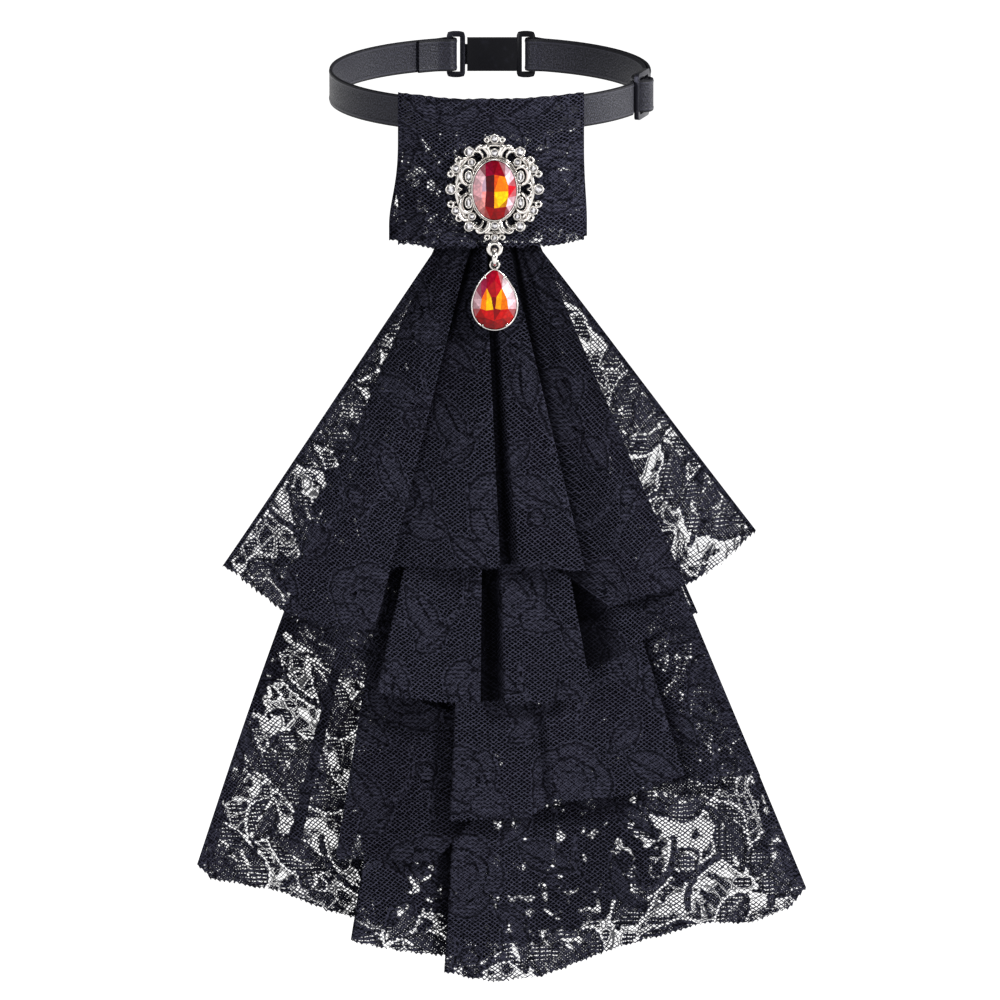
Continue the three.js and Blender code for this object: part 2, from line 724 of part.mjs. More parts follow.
function dropStone() {
  const levels = table(["inset", "height"], [
    [3.2, floorThickness - dropBack + stoneGap],
    [dropRim + stoneGap, 0.2],
    [dropRim + stoneGap, 0.55],
    [3.1, 2.6],
  ]);
  const rings = levels.map((level) => pear(level.inset).map((p) => [p.x, p.y, level.height]));
  const count = rings[0].length;
  const points = rings.flat();
  const index = [];
  for (let level = 0; level < rings.length - 1; level++) {
    for (let i = 0; i < count; i++) {
      const a = level * count + i;
      const b = level * count + ((i + 1) % count);
      index.push(a, b, b + count, a, b + count, a + count);
    }
  }
  const top = (rings.length - 1) * count;
  for (let i = 1; i < count - 1; i++) {
    index.push(top, top + i, top + i + 1);
    index.push(0, i + 1, i);
  }
  const geometry = new THREE.BufferGeometry();
  geometry.setAttribute("position", new THREE.Float32BufferAttribute(points.flat(), 3));
  geometry.setIndex(index);
  return geometry;
}

addMesh(dropGroup, "drop_setting", geometryOf(dropSetting()), "silver");
addMesh(dropGroup, "drop_stone", geometryOf(solidOf(dropStone())), "ruby");

// Tiers: width and fall are shares of the jabot's half width and length, and in each tier's line
// head is a share of the head's half width, hem and lap of the tier's, drop and lapDrop of its length

const tierColumns = ["kind", "head", "hem", "drop", "depth", "lap", "lapDrop"];
const tiers = table(["name", "layer", "width", "fall", "bow", "line"], [
  ["tier_a", 3, 0.844, 0.504, 0, table(tierColumns, [
    ["edge", -1, -1, 0.84, 0.5],
    ["wave", -0.85, -0.91, 0.89, 0.9],
    ["wave", -0.72, -0.765, 0.96, 0.1],
    ["wave", -0.55, -0.6, 0.99, -0.5],
    ["right", -0.38, -0.43, 1, -1, 0.08, 0.9],
    ["wave", -0.2, -0.34, 0.835, 0.5],
    ["right", -0.09, 0.04, 0.83, -1, 0.08, 0.84],
    ["right", 0.34, 0.36, 0.84, -1, 0.08, 0.92],
    ["wave", 0.52, 0.45, 0.945, 0.7],
    ["wave", 0.64, 0.6, 0.91, 0.1],
    ["wave", 0.75, 0.73, 0.89, 0.6],
    ["wave", 0.85, 0.85, 0.84, 0.1],
    ["edge", 0.92, 1, 0.75, 0.6],
  ])],
  ["tier_b", 2, 0.656, 0.624, 0, table(tierColumns, [
    ["edge", -1, -0.96, 0.85, 0.8],
    ["wave", -0.84, -0.82, 0.88, 0.3],
    ["wave", -0.68, -0.69, 0.93, 0.8],
    ["left", -0.3, -0.55, 0.95, -1, 0.12, 1],
    ["wave", -0.2, -0.3, 0.97, -0.6],
    ["right", -0.02, 0.03, 0.98, -1, 0.1, 0.98],
    ["wave", 0.2, 0.3, 0.975, -0.4],
    ["right", 0.38, 0.49, 0.955, -1, 0.1, 0.92],
    ["wave", 0.6, 0.6, 0.86, 0.4],
    ["wave", 0.75, 0.78, 0.84, 0.9],
    ["wave", 0.84, 0.9, 0.81, 0.4],
    ["edge", 0.92, 1, 0.79, 0.8],
  ])],
  ["tier_c", 1, 0.854, 0.841, 0, table(tierColumns, [
    ["edge", -1, -0.57, 0.99, 0.5],
    ["wave", -0.75, -0.4, 0.99, 0.9],
    ["wave", -0.5, -0.22, 0.995, 0.6],
    ["left", -0.25, -0.15, 0.92, -1, 0.1, 1],
    ["wave", 0, 0.15, 0.915, -0.7],
    ["wave", 0.1, 0.2, 0.9, -0.1],
    ["wave", 0.17, 0.24, 0.89, -0.8],
    ["wave", 0.3, 0.43, 0.885, -0.4],
    ["wave", 0.45, 0.57, 0.875, -0.7],
    ["right", 0.56, 0.72, 0.85, -1, 0.09, 0.865],
    ["wave", 0.74, 0.8, 0.87, 0.4],
    ["wave", 0.82, 0.9, 0.86, 0.9],
    ["edge", 0.92, 1, 0.86, 0.5],
  ])],
  ["tier_d", 0, 1, 1, 4, table(tierColumns, [
    ["edge", -1, -0.925, 0.85, 0.2],
    ["wave", -0.92, -0.88, 0.87, 0.7],
    ["wave", -0.8, -0.73, 0.88, 0.9],
    ["wave", -0.68, -0.64, 0.885, 0.1],
    ["wave", -0.6, -0.52, 0.91, 0.9],
    ["left", -0.4, -0.44, 0.945, -1, 0.1, 0.935],
    ["wave", -0.3, -0.28, 0.96, -0.3],
    ["left", -0.05, -0.145, 0.985, -1, 0.1, 0.975],
    ["wave", 0.06, 0, 1, -0.7],
    ["wave", 0.18, 0.16, 0.995, 0.1],
    ["wave", 0.38, 0.39, 0.96, 0.7],
    ["wave", 0.58, 0.68, 0.925, 0],
    ["wave", 0.74, 0.82, 0.93, 0.8],
    ["wave", 0.87, 0.94, 0.91, 0.2],
    ["edge", 0.92, 1, 0.885, 0.7],
  ])],
]);
const tierLevels = [0, 0.1, 0.22, 0.36, 0.52, 0.7, 0.86, 1];

// Share of the full flare at a height under the panel
function flare(z) {
  return softStep((-panelDrop - z) / flareLength);
}

// Plan place of one point of a tier's line at a level between the head and the hem
function tierPoint(tier, place, level) {
  const z = -panelDrop - level * place.drop * tier.fall * jabotLength;
  const open = flare(z);
  const head = place.head * headHalfWidth;
  const hem = place.hem * tier.width * jabotHalfWidth;
  const lap = place.side ? place.side * blend(headStep, -place.lap * tier.width * jabotHalfWidth, level) : 0;
  const bow = tier.bow * Math.sin(Math.PI * level) * Math.max(-place.hem, 0) ** 2;
  const x = blend(head, hem, level) + lap - bow;
  const middle = headPlane - tier.layer * blend(headPitch, hemPitch, open);
  const y = middle + place.depth * blend(headDepth, hemDepth, open) + sideFall * (x / sideFallAt) ** 2;
  return { plan: new THREE.Vector2(x, y), z };
}

// Each fold is a front edge and a back edge: side says on which side of the front edge the back one lies
function tierPlaces(tier) {
  return tier.line.flatMap((row) => {
    const front = { ...row, fold: true };
    const back = { ...front, depth: 1, drop: row.lapDrop };
    if (row.kind === "right") {
      return [front, { ...back, side: 1 }];
    }
    if (row.kind === "left") {
      return [{ ...back, side: -1 }, front];
    }
    return [row];
  });
}

// A row of the tier with each fold's edge rounded over a short nose
function tierRow(tier, level) {
  const places = tierPlaces(tier);
  const points = places.map((place) => tierPoint(tier, place, level));
  return points.flatMap((point, i) => {
    if (!places[i].fold) return [point];
    const into = point.plan.clone().sub(points[i - 1].plan);
    const out = points[i + 1].plan.clone().sub(point.plan);
    const nose = Math.min(foldNose, foldNoseShare * Math.min(into.length(), out.length())) / 2;
    const along = into.normalize().add(out.normalize()).normalize();
    return [-nose, nose].map((reach) => ({ plan: point.plan.clone().addScaledVector(along, reach), z: point.z }));
  });
}

function tierGeometry(tier) {
  const rows = tierLevels.map((level) => tierRow(tier, level));
  const top = rows[0].map((point) => ({ plan: point.plan, z: headTop }));
  const side = (distance) => [top, ...rows].map((row) => {
    return offsetPath(row.map((point) => point.plan), distance).map((p, i) => {
      return new THREE.Vector3(p.x, p.y, row[i].z);
    });
  });
  return wallBetween(side(laceWall / 2), side(-laceWall / 2));
}

for (const tier of tiers) {
  addMesh(part, tier.name, tierGeometry(tier), "lace");
}

export default part;
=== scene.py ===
import math
from functools import partial

import bmesh
import bpy
import numpy as np
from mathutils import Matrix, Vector


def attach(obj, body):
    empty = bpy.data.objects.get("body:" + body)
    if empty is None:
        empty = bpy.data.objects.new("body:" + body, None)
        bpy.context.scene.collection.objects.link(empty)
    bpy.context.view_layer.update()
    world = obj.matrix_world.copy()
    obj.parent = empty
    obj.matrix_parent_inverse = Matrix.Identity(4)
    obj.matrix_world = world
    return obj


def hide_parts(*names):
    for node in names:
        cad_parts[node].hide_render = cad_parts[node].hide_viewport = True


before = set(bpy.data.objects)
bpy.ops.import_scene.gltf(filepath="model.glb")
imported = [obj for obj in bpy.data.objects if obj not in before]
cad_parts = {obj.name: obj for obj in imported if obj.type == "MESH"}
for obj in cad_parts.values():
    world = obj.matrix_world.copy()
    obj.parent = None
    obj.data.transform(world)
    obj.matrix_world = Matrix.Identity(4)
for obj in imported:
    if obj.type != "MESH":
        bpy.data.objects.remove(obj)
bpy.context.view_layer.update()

mm = 0.001


# Small tools

def linear(hexColour):
    values = [int(hexColour[i:i + 2], 16) / 255 for i in (1, 3, 5)]
    return [v / 12.92 if v <= 0.04045 else ((v + 0.055) / 1.055) ** 2.4 for v in values] + [1.0]


def rows(columns, table):
    return [dict(zip(columns, row)) for row in table]


def blend(a, b, share):
    return a + (b - a) * share


def softStep(value):
    t = np.clip(value, 0, 1)
    return t * t * (3 - 2 * t)


# Inputs are values or other nodes' outputs, by place or by name
def addNode(tree, kind, inputs=(), operation=None, out=0, **settings):
    node = tree.nodes.new("ShaderNode" + kind)
    if operation:
        node.operation = operation
    for name, value in settings.items():
        setattr(node, name, value)
    for key, value in inputs.items() if isinstance(inputs, dict) else enumerate(inputs):
        if isinstance(value, bpy.types.NodeSocket):
            tree.links.new(value, node.inputs[key])
        else:
            node.inputs[key].default_value = value
    return node.outputs[out] if node.outputs else node


eased = {"interpolation_type": "SMOOTHSTEP"}


def newMaterial(name, **surfaceInputs):
    material = bpy.data.materials.new(name)
    material.use_nodes = True
    tree = material.node_tree
    tree.nodes.clear()
    surface = tree.nodes.new("ShaderNodeBsdfPrincipled")
    addNode(tree, "OutputMaterial", (surface.outputs[0],))
    for key, value in surfaceInputs.items():
        surface.inputs[key.replace("_", " ")].default_value = value
    return material, tree, surface


def gridMesh(name, points, fields={}, closed=False):
    rowCount, columnCount = points.shape[:2]
    mesh = bpy.data.meshes.new(name)
    index = np.arange(rowCount * columnCount).reshape(rowCount, columnCount)
    if closed:
        index = np.concatenate([index, index[:, :1]], axis=1)
    faces = np.stack([index[:-1, :-1], index[1:, :-1], index[1:, 1:], index[:-1, 1:]], axis=-1)
    mesh.from_pydata((points.reshape(-1, 3) * mm).tolist(), [], faces.reshape(-1, 4).tolist())
    for key, values in fields.items():
        layer = mesh.attributes.new(key, "FLOAT", "POINT")
        layer.data.foreach_set("value", np.asarray(values, dtype=np.float32).ravel())
    mesh.shade_smooth()
    return mesh


def addObject(name, mesh, material, body="jabot"):
    piece = bpy.data.objects.new(name, mesh)
    bpy.context.scene.collection.objects.link(piece)
    mesh.materials.append(material)
    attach(piece, body)
    return piece


# Lace: floral net. Motifs are drawn as signed distances in cloth millimetres

laceRepeat = {
    "width": 66.0, "height": 58.0, "reach": 26.0,
    "far": 30.0, "noLine": 9.0,   # distances where no motif is near
    "motifs": rows(["kind", "x", "y", "size", "turn"], [
        ["rose", 0, 0, 14, 0],
        ["rose", 33, 27, 11.5, 40],
        ["leaf", 17, -9, 21, 25],
        ["leaf", -18, 8, 22, 200],
        ["leaf", 14, 13, 19, 70],
        ["leaf", -12, -17, 20, 245],
        ["leaf", 46, 16, 16, -35],
        ["leaf", 22, 37, 17, 130],
        ["leaf", 47, 37, 17, 40],
        ["leaf", 21, 17, 15, 215],
        ["bud", 3, 26, 6, 90],
        ["bud", -27, -8, 5, 160],
        ["bud", 28, 3, 5, 20],
        ["stem", -16, 22, 15, 0],
        ["stem", 16, -20, 13, 180],
    ]),
}


# Distance to the filled shape, distance to the open lines in it, and where its filling is ribbed
def motifField(kind, x, y, size):
    radius = np.hypot(x, y)
    angle = np.arctan2(y, x)
    if kind == "rose":
        outer = radius - size * (0.88 + 0.12 * np.abs(np.cos(2.5 * angle)))
        middle = radius - size * 0.62 * (0.86 + 0.14 * np.abs(np.cos(2.5 * angle + 0.9)))
        inner = radius - size * 0.34 * (1 + 0.18 * np.cos(3 * angle + 1.2))
        ring = (middle < 0) & (inner > 0)
        swirl = np.abs(np.sin(angle + radius / size * 9.0)) * radius
        petal = np.abs(np.cos(2.5 * angle)) * radius * 0.4
        lines = np.minimum(np.abs(middle), np.abs(inner))
        lines = np.minimum(lines, np.where(middle > 0, petal, 99))
        lines = np.minimum(lines, np.where(ring, swirl * 0.35, 99))
        ribbed = (middle > 0) & (np.sin(5 * angle + 0.6) > 0.1) | ring & (np.cos(2 * angle) > 0.55)
        return outer, lines, ribbed
    if kind == "leaf":
        t = np.clip(x / size, 0, 1)
        half = size * 0.27 * np.sin(np.pi * t ** 0.8) * (1 - 0.1 * np.sin(12 * np.pi * t) ** 2)
        past = np.minimum(x, 0) + np.maximum(x - size, 0)
        outer = np.where(past != 0, np.hypot(past, y), np.abs(y) - half)
        return outer, np.abs(y - 0.06 * size * np.sin(np.pi * t)), y > 0.4
    if kind == "bud":
        outer = np.hypot(x, y * 1.5) - size * (0.85 + 0.15 * np.cos(3 * angle))
        return outer, np.abs(radius - size * 0.45), radius < size * 0.45
    # a stem is a plain arc, with no line in it and no ribs
    arc = np.where(y > -size * 0.3, np.abs(radius - size) - 0.75, laceRepeat["noLine"])
    return arc, arc + laceRepeat["noLine"], np.zeros(arc.shape)


# The fields at cloth points, each column of repeats dropped by half a repeat
def laceFields(u, v):
    wide, high, reach = laceRepeat["width"], laceRepeat["height"], laceRepeat["reach"]
    solid = np.full(u.shape, laceRepeat["far"])
    lines = np.full(u.shape, laceRepeat["noLine"])
    ribbed = np.zeros(u.shape)
    column = np.floor(u / wide)
    for i in (-1, 0, 1):
        drop = ((column + i) % 2) * high / 2
        for j in (-1, 0, 1):
            x0 = u - (column + i) * wide
            y0 = v - drop - (np.floor((v - drop) / high) + j) * high
            for row in laceRepeat["motifs"]:
                c, s = math.cos(math.radians(row["turn"])), math.sin(math.radians(row["turn"]))
                dx, dy = x0 - row["x"], y0 - row["y"]
                near = (np.abs(dx) < reach) & (np.abs(dy) < reach)
                if not near.any():
                    continue
                x = dx[near] * c + dy[near] * s
                y = dy[near] * c - dx[near] * s
                outer, inner, rib = motifField(row["kind"], x, y, row["size"])
                before = solid[near]
                top = (outer < 0) & (before > -0.01) | (outer < before) & (before > 0)
                lines[near] = np.where(top, inner, lines[near])
                ribbed[near] = np.where(top, rib, ribbed[near])
                solid[near] = np.minimum(before, outer)
    return {"solid": solid, "lines": lines, "ribbed": ribbed}


# Sizes are millimetres. Net and stitches are drawn coarser than the real ones, so that they show
laceYarn = {
    "net": (1.7, 1.25),           # one mesh of the net, across and down
    "stitch": (1.1, 0.95), "ribPitch": 1.25, "barPitch": 3.8, "picotPitch": 3.0, "picot": 0.55,
    "cord": 0.3, "cordBlur": 0.1,  # half width of the cord round each motif
    "wander": 1.1, "fray": 2.6,   # how far threads and motif outlines stray
    "noise": ((0.35, 1.0), (0.9, 2.0), (0.045, 1.0), (0.22, 2.0)),    # scale and detail
    "leafScale": 0.16, "leafBend": 22.0, "leafShare": 0.36, "bumpDepth": 0.0003,
    # from and to of each soft step, then what it gives there when that isn't 0 and 1
    "packed": (0.62, 0.5, 0.0, 0.22), "holes": (0.36, 0.24), "cloth": (1.32, 1.2),
    "slits": (1.6, 1.95), "bars": (0.35, 0.5), "inside": (0.15, -0.15), "openLine": (0.1, 0.4),
    "leaf": (0.05, 0.09), "leafCord": (0.05, 0.02, 0.0, 0.9), "ground": (0.9, 1.2),
    "selvedge": (1.2, 0.9), "shut": (-0.06, 0.06), "hem": (-0.1, 0.1),
    # the tones below paint light on thread tops and shade in pits, petal lines and the deep side of folds
    "stitchTone": (0.5, -0.6, 0.02, 0.6), "ribTone": (0.6, -0.6, 0.04, 0.58),
    "netTone": (0.5, 0.05, 0.0, 0.95), "pits": (0.7, 0.3), "calm": (0.36, 0.5, 0.35, 1.0),
    "petalShadow": (0.15, 0.6, 0.25, 1.0), "dark": (0.0, 1.0, 1.0, 0.08),
}


# Black polyester net lace, warp knitted: matt yarn, so only the thread tops catch light; that light and the shade
# between the threads are painted into its colour
def laceMaterial(name, threadHex, shadeHex):
    yarn = laceYarn
    material, tree, surface = newMaterial(name, Roughness=0.85, Specular_IOR_Level=0.03)
    node = partial(addNode, tree)
    u, v, solid, lines, ribbed, edge, hemGap, dark, doubled = (
        node("Attribute", attribute_name=key, out="Fac")
        for key in ("across", "down", "solid", "lines", "ribbed", "edge", "hemGap", "dark", "doubled"))
    place = node("CombineXYZ", (u, v))
    wobble, speck, patch, clump = (
        node("TexNoise", {"Vector": place, "Scale": scale, "Detail": detail}, out="Fac")
        for scale, detail in yarn["noise"])
    across, down = (node("Math", (wobble, yarn["wander"], way), "MULTIPLY_ADD") for way in (u, v))
    waves = []
    for way, pitch in ((across, yarn["stitch"][0]), (down, yarn["stitch"][1]), (down, yarn["ribPitch"]),
                       (across, yarn["barPitch"]), (across, yarn["picotPitch"])):
        turn = node("Math", (way, 2 * math.pi / pitch), "MULTIPLY")
        waves.append(node("Math", (turn,), "SINE"))
    # yarn ends blur the motif outlines
    fray = node("Math", (speck, yarn["fray"], -yarn["fray"] / 2), "MULTIPLY_ADD")
    solid = node("Math", (solid, fray), "ADD")
    lines = node("Math", (fray, 0.3, lines), "MULTIPLY_ADD")

    # net ground: slanting threads, each mesh wider than it is high, closer in patches
    netAcross, netDown = (
        node("Math", (way, math.pi / size), "MULTIPLY") for way, size in zip((across, down), yarn["net"]))
    threads = []
    for slant in ("ADD", "SUBTRACT"):
        wave = node("Math", (node("Math", (netAcross, netDown), operation=slant),), "SINE")
        threads.append(node("Math", (wave,), "ABSOLUTE"))
    thread = node("Math", threads, "MINIMUM")
    packed = node("MapRange", (patch, *yarn["packed"]), **eased)
    net = node("MapRange", (node("Math", (thread, packed), "SUBTRACT"), *yarn["holes"]), **eased)

    # cloth stitch inside the motifs, with tiny holes where the threads cross
    weave = node("Math", waves[:2], "MULTIPLY")
    crossing = node("Math", (speck, 0.8, weave), "MULTIPLY_ADD")
    cloth = node("MapRange", (crossing, *yarn["cloth"]), **eased)

    # ribbed filling: rows of threads with slits between them
    ribs = waves[2]
    bars = node("MapRange", (node("Math", (waves[3],), "ABSOLUTE"), *yarn["bars"]), **eased)
    slits = node("MapRange", (node("Math", (clump, 2.0, ribs), "MULTIPLY_ADD"), *yarn["slits"]), **eased)
    ribCloth = node("Math", (1.0, node("Math", (slits, bars), "MULTIPLY")), "SUBTRACT")
    filling = node("Mix", {"Factor": ribbed, "A": cloth, "B": ribCloth})
    inside = node("MapRange", (solid, *yarn["inside"]), **eased)
    # the open lines between petals break up and widen as the yarn shifts
    gap = node("Math", (clump, -3.4, node("Math", (lines, 1.9), "ADD")), "MULTIPLY_ADD")
    openLine = node("MapRange", (gap, *yarn["openLine"]), **eased)
    motif = node("Math", (inside, node("Math", (filling, openLine), "MULTIPLY")), "MULTIPLY")

    # small leaves and petals that fill the ground between the main motifs
    swirl = node("TexNoise", {"Vector": place, "Scale": 0.08, "Detail": 0.0}, out="Color")
    bent = node("VectorMath", (swirl, (yarn["leafBend"],) * 3, place), "MULTIPLY_ADD")
    cell = {"Vector": bent, "Scale": yarn["leafScale"]}
    border = node("TexVoronoi", cell, out="Distance", feature="DISTANCE_TO_EDGE")
    cellColour = node("TexVoronoi", cell, out="Color")
    leafy, leafRib = (
        node("Math", (node("SeparateXYZ", (cellColour,), out=axis), share), "GREATER_THAN")
        for axis, share in (("X", yarn["leafShare"]), ("Y", 0.5)))
    leafFill = node("Mix", {"Factor": leafRib, "A": cloth, "B": ribCloth})
    leafInside = node("Math", (leafy, node("MapRange", (border, *yarn["leaf"]), **eased)), "MULTIPLY")
    leaf = node("Math", (leafFill, leafInside), "MULTIPLY")
    leafCord = node("MapRange", (border, *yarn["leafCord"]), **eased)
    ground = node("Math", (leaf, leafCord), "MAXIMUM")
    ground = node("Math", (ground, node("MapRange", (solid, *yarn["ground"]), **eased)), "MULTIPLY")
    body = node("Math", (motif, ground), "MAXIMUM")
    cordEdges = (yarn["cord"] + yarn["cordBlur"], yarn["cord"] - yarn["cordBlur"])
    cord = node("MapRange", (node("Math", (solid,), "ABSOLUTE"), *cordEdges), **eased)
    selvedge = node("MapRange", (edge, *yarn["selvedge"]), **eased)
    # where the lace lies double its holes seldom line up
    closed = node("Math", (clump, -2.2, node("Math", (doubled, 0.6), "ADD")), "MULTIPLY_ADD")
    shut = node("MapRange", (closed, *yarn["shut"]), **eased)
    cover = net
    for thing in (body, cord, selvedge, shut):
        cover = node("Math", (cover, thing), "MAXIMUM")

    # picot hem: small loops past a thin cord, cut out between them
    ragged = node("Math", (clump, 3.0, speck), "MULTIPLY_ADD")
    loops = node("Math", (node("Math", (waves[4],), "ABSOLUTE"), ragged), "ADD")
    trim = node("Math", (loops, -yarn["picot"], hemGap), "MULTIPLY_ADD")
    alpha = node("Math", (cover, node("MapRange", (trim, *yarn["hem"]), **eased)), "MULTIPLY")

    # painted light and shade: thread tops are drawn lighter as the light they catch, the pits between them and the
    # deep side of a fold are painted black as shade
    stitchTone = node("MapRange", (weave, *yarn["stitchTone"]), **eased)
    ribTone = node("MapRange", (ribs, *yarn["ribTone"]), **eased)
    fibre = node("Mix", {"Factor": ribbed, "A": stitchTone, "B": ribTone})
    netTone = node("MapRange", (thread, *yarn["netTone"]), **eased)
    relief = node("Math", (body, fibre), "MULTIPLY")
    for thing, tone in ((cord, 0.6), (net, netTone)):
        relief = node("Math", (relief, node("Math", (thing, tone), "MULTIPLY")), "MAXIMUM")
    # painted shade: the ground between motifs gets black pits, the motifs are calm but for a painted shadow line
    # inside their cord
    pits = node("MapRange", (thread, *yarn["pits"]), **eased)
    calm = node("Math", (node("MapRange", (clump, *yarn["calm"]), **eased), 0.9), "MULTIPLY")
    calm = node("Math", (inside, calm), "MULTIPLY")
    pitShade = node("Math", (node("Math", (pits, calm), "MAXIMUM"), 0.97, 0.03), "MULTIPLY_ADD")
    shadowGap = node("Math", (node("Math", (solid, 0.85), "ADD"),), "ABSOLUTE")
    nearLine = node("Math", (shadowGap, lines), "MINIMUM")
    petalShadow = node("MapRange", (nearLine, *yarn["petalShadow"]), **eased)
    petalTone = node("Mix", {"Factor": inside, "A": 1.0, "B": petalShadow})
    relief = node("Math", (relief, node("Math", (pitShade, petalTone), "MULTIPLY")), "MULTIPLY")
    tone = relief
    # random tone from the speck noise, then the painted shade of the deep side of a fold, from the dark attribute
    for shade in (node("Math", (speck, 3.0, -0.6), "MULTIPLY_ADD"),
                  node("MapRange", (dark, *yarn["dark"]), **eased)):
        tone = node("Math", (tone, shade), "MULTIPLY")
    colour = node("Mix", {0: tone, 6: linear(shadeHex), 7: linear(threadHex)}, out=2, data_type="RGBA")
    bump = node("Bump", {"Strength": 0.6, "Distance": yarn["bumpDepth"], "Height": relief})
    for key, source in (("Base Color", colour), ("Alpha", alpha), ("Normal", bump)):
        tree.links.new(source, surface.inputs[key])
    return material


lace = laceMaterial("net_lace_black", "#3e3e4d", "#010103")
print("lace material made")


# Tiers: pleated lace, each line runs from the wearer's right to left

tierShape = {
    "panelDrop": 38.5, "headHalf": 16.0, "headPlane": -52.5,
    "headPitch": 2.3, "headDepth": 1.05, "hemPitch": 6.5, "hemDepth": 3.1,
    "flareLength": 100.0, "headStep": 1.5, "sideFall": 8.0, "sideFallAt": 90.0,
    "spacing": 0.8, "hemTurn": 1.8,
    "fewestSteps": 6, "hold": 0.15, "gather": 0.5, "gatherFall": 130.0,
    "doubled": 0.75, "close": 0.24, "wingFade": 0.3, "turned": 0.7, "turnedWidth": 4.0,
    "tuck": -0.655, "tuckWidth": 0.013, "gapShade": 0.78, "waveShade": 0.18, "headLight": 0.75, "headShade": 0.35,
}
tierColumns = ["kind", "head", "hem", "drop", "depth", "lap", "lapDrop"]
tiers = rows(["name", "layer", "half", "length", "bow", "shift", "openLeft", "openRight", "openHem", "line"], [
    ["tier_a", 3, 81, 114, 0, 0, 0.88, 0.58, 3, [
        ["edge", -1, -1, 0.84, 0.5],
        ["wave", -0.85, -0.91, 0.89, 0.9],
        ["wave", -0.72, -0.765, 0.96, 0.1],
        ["wave", -0.55, -0.6, 0.99, -0.5],
        ["right", -0.38, -0.43, 1, -1, 0.14, 0.9],
        ["wave", -0.2, -0.34, 0.835, 0.5],
        ["right", -0.09, 0.04, 0.83, -1, 0.12, 0.84],
        ["gap", -0.03, 0.065, 0.83, 1],
        ["wave", 0.02, 0.115, 0.83, -0.3],
        ["right", 0.34, 0.36, 0.84, -1, 0.12, 0.84],
        ["wave", 0.52, 0.45, 0.945, 0.7],
        ["wave", 0.64, 0.6, 0.91, 0.1],
        ["wave", 0.75, 0.73, 0.89, 0.6],
        ["wave", 0.85, 0.85, 0.84, 0.1],
        ["edge", 0.92, 1, 0.75, 0.6],
    ]],
    ["tier_b", 2, 63, 141, 0, 23, 0.7, 0.8, 2, [
        ["edge", -1, -0.96, 0.85, 0.8],
        ["wave", -0.84, -0.82, 0.88, 0.3],
        ["wave", -0.68, -0.69, 0.93, 0.8],
        ["left", -0.3, -0.55, 0.95, -1, 0.36, 1],
        ["wave", -0.2, -0.3, 0.97, -0.6],
        ["right", -0.1, -0.045, 0.98, -1, 0.16, 0.98],
        ["gap", -0.02, 0.03, 0.98, 1],
        ["wave", 0.03, 0.075, 0.98, -0.5],
        ["wave", 0.2, 0.3, 0.975, -0.6],
        ["right", 0.38, 0.49, 0.955, -1, 0.14, 0.92],
        ["gap", 0.5, 0.55, 0.9, 1],
        ["wave", 0.62, 0.67, 0.86, 0.2],
        ["wave", 0.75, 0.78, 0.84, 0.9],
        ["wave", 0.84, 0.9, 0.81, 0.4],
        ["edge", 0.92, 1, 0.79, 0.8],
    ]],
    ["tier_c", 1, 82, 190, 0, 41, 0.75, 0.84, 2, [
        ["edge", -1, -0.57, 0.99, 0.5],
        ["wave", -0.75, -0.4, 0.99, 0.9],
        ["wave", -0.5, -0.25, 0.995, 0.6],
        ["wave", -0.35, -0.19, 0.985, 0.8],
        ["left", -0.25, -0.15, 0.92, -1, 0.12, 0.91],
        ["wave", 0, 0.15, 0.915, -0.7],
        ["wave", 0.1, 0.2, 0.9, -0.1],
        ["wave", 0.17, 0.24, 0.89, -0.8],
        ["wave", 0.3, 0.43, 0.885, -0.4],
        ["wave", 0.45, 0.57, 0.875, -0.7],
        ["right", 0.56, 0.72, 0.85, -1, 0.12, 0.865],
        ["wave", 0.74, 0.8, 0.87, 0.4],
        ["wave", 0.82, 0.9, 0.86, 0.9],
        ["edge", 0.92, 1, 0.86, 0.5],
    ]],
    ["tier_d", 0, 96, 226, 4, 9, 0.48, 0.62, 13, [
        ["edge", -1, -0.925, 0.85, 0.2],
        ["wave", -0.92, -0.88, 0.87, 0.7],
        ["wave", -0.8, -0.73, 0.88, 0.9],
        ["wave", -0.68, -0.64, 0.885, 0.1],
        ["wave", -0.6, -0.52, 0.91, 0.9],
        ["left", -0.4, -0.44, 0.945, -1, 0.14, 0.93],
        ["wave", -0.3, -0.28, 0.96, -0.3],
        ["left", -0.05, -0.145, 0.985, -1, 0.16, 0.975],
        ["wave", 0.06, 0, 1, -0.7],
        ["wave", 0.18, 0.16, 0.995, 0.1],
        ["wave", 0.38, 0.39, 0.96, 0.7],
        ["wave", 0.58, 0.68, 0.925, 0],
        ["wave", 0.74, 0.82, 0.93, 0.8],
        ["wave", 0.87, 0.94, 0.91, 0.2],
        ["edge", 0.92, 1, 0.885, 0.7],
    ]],
])


def tierPlaces(tier):
    places = []
    for row in rows(tierColumns, tier["line"]):
        front = {"side": 0, **row}
        if row["kind"] in ("left", "right"):
            side = 1 if row["kind"] == "right" else -1
            back = {**row, "side": side, "depth": 1, "drop": row["lapDrop"]}
            places += [front, back] if side > 0 else [back, front]
        else:
            places.append(front)
    return places


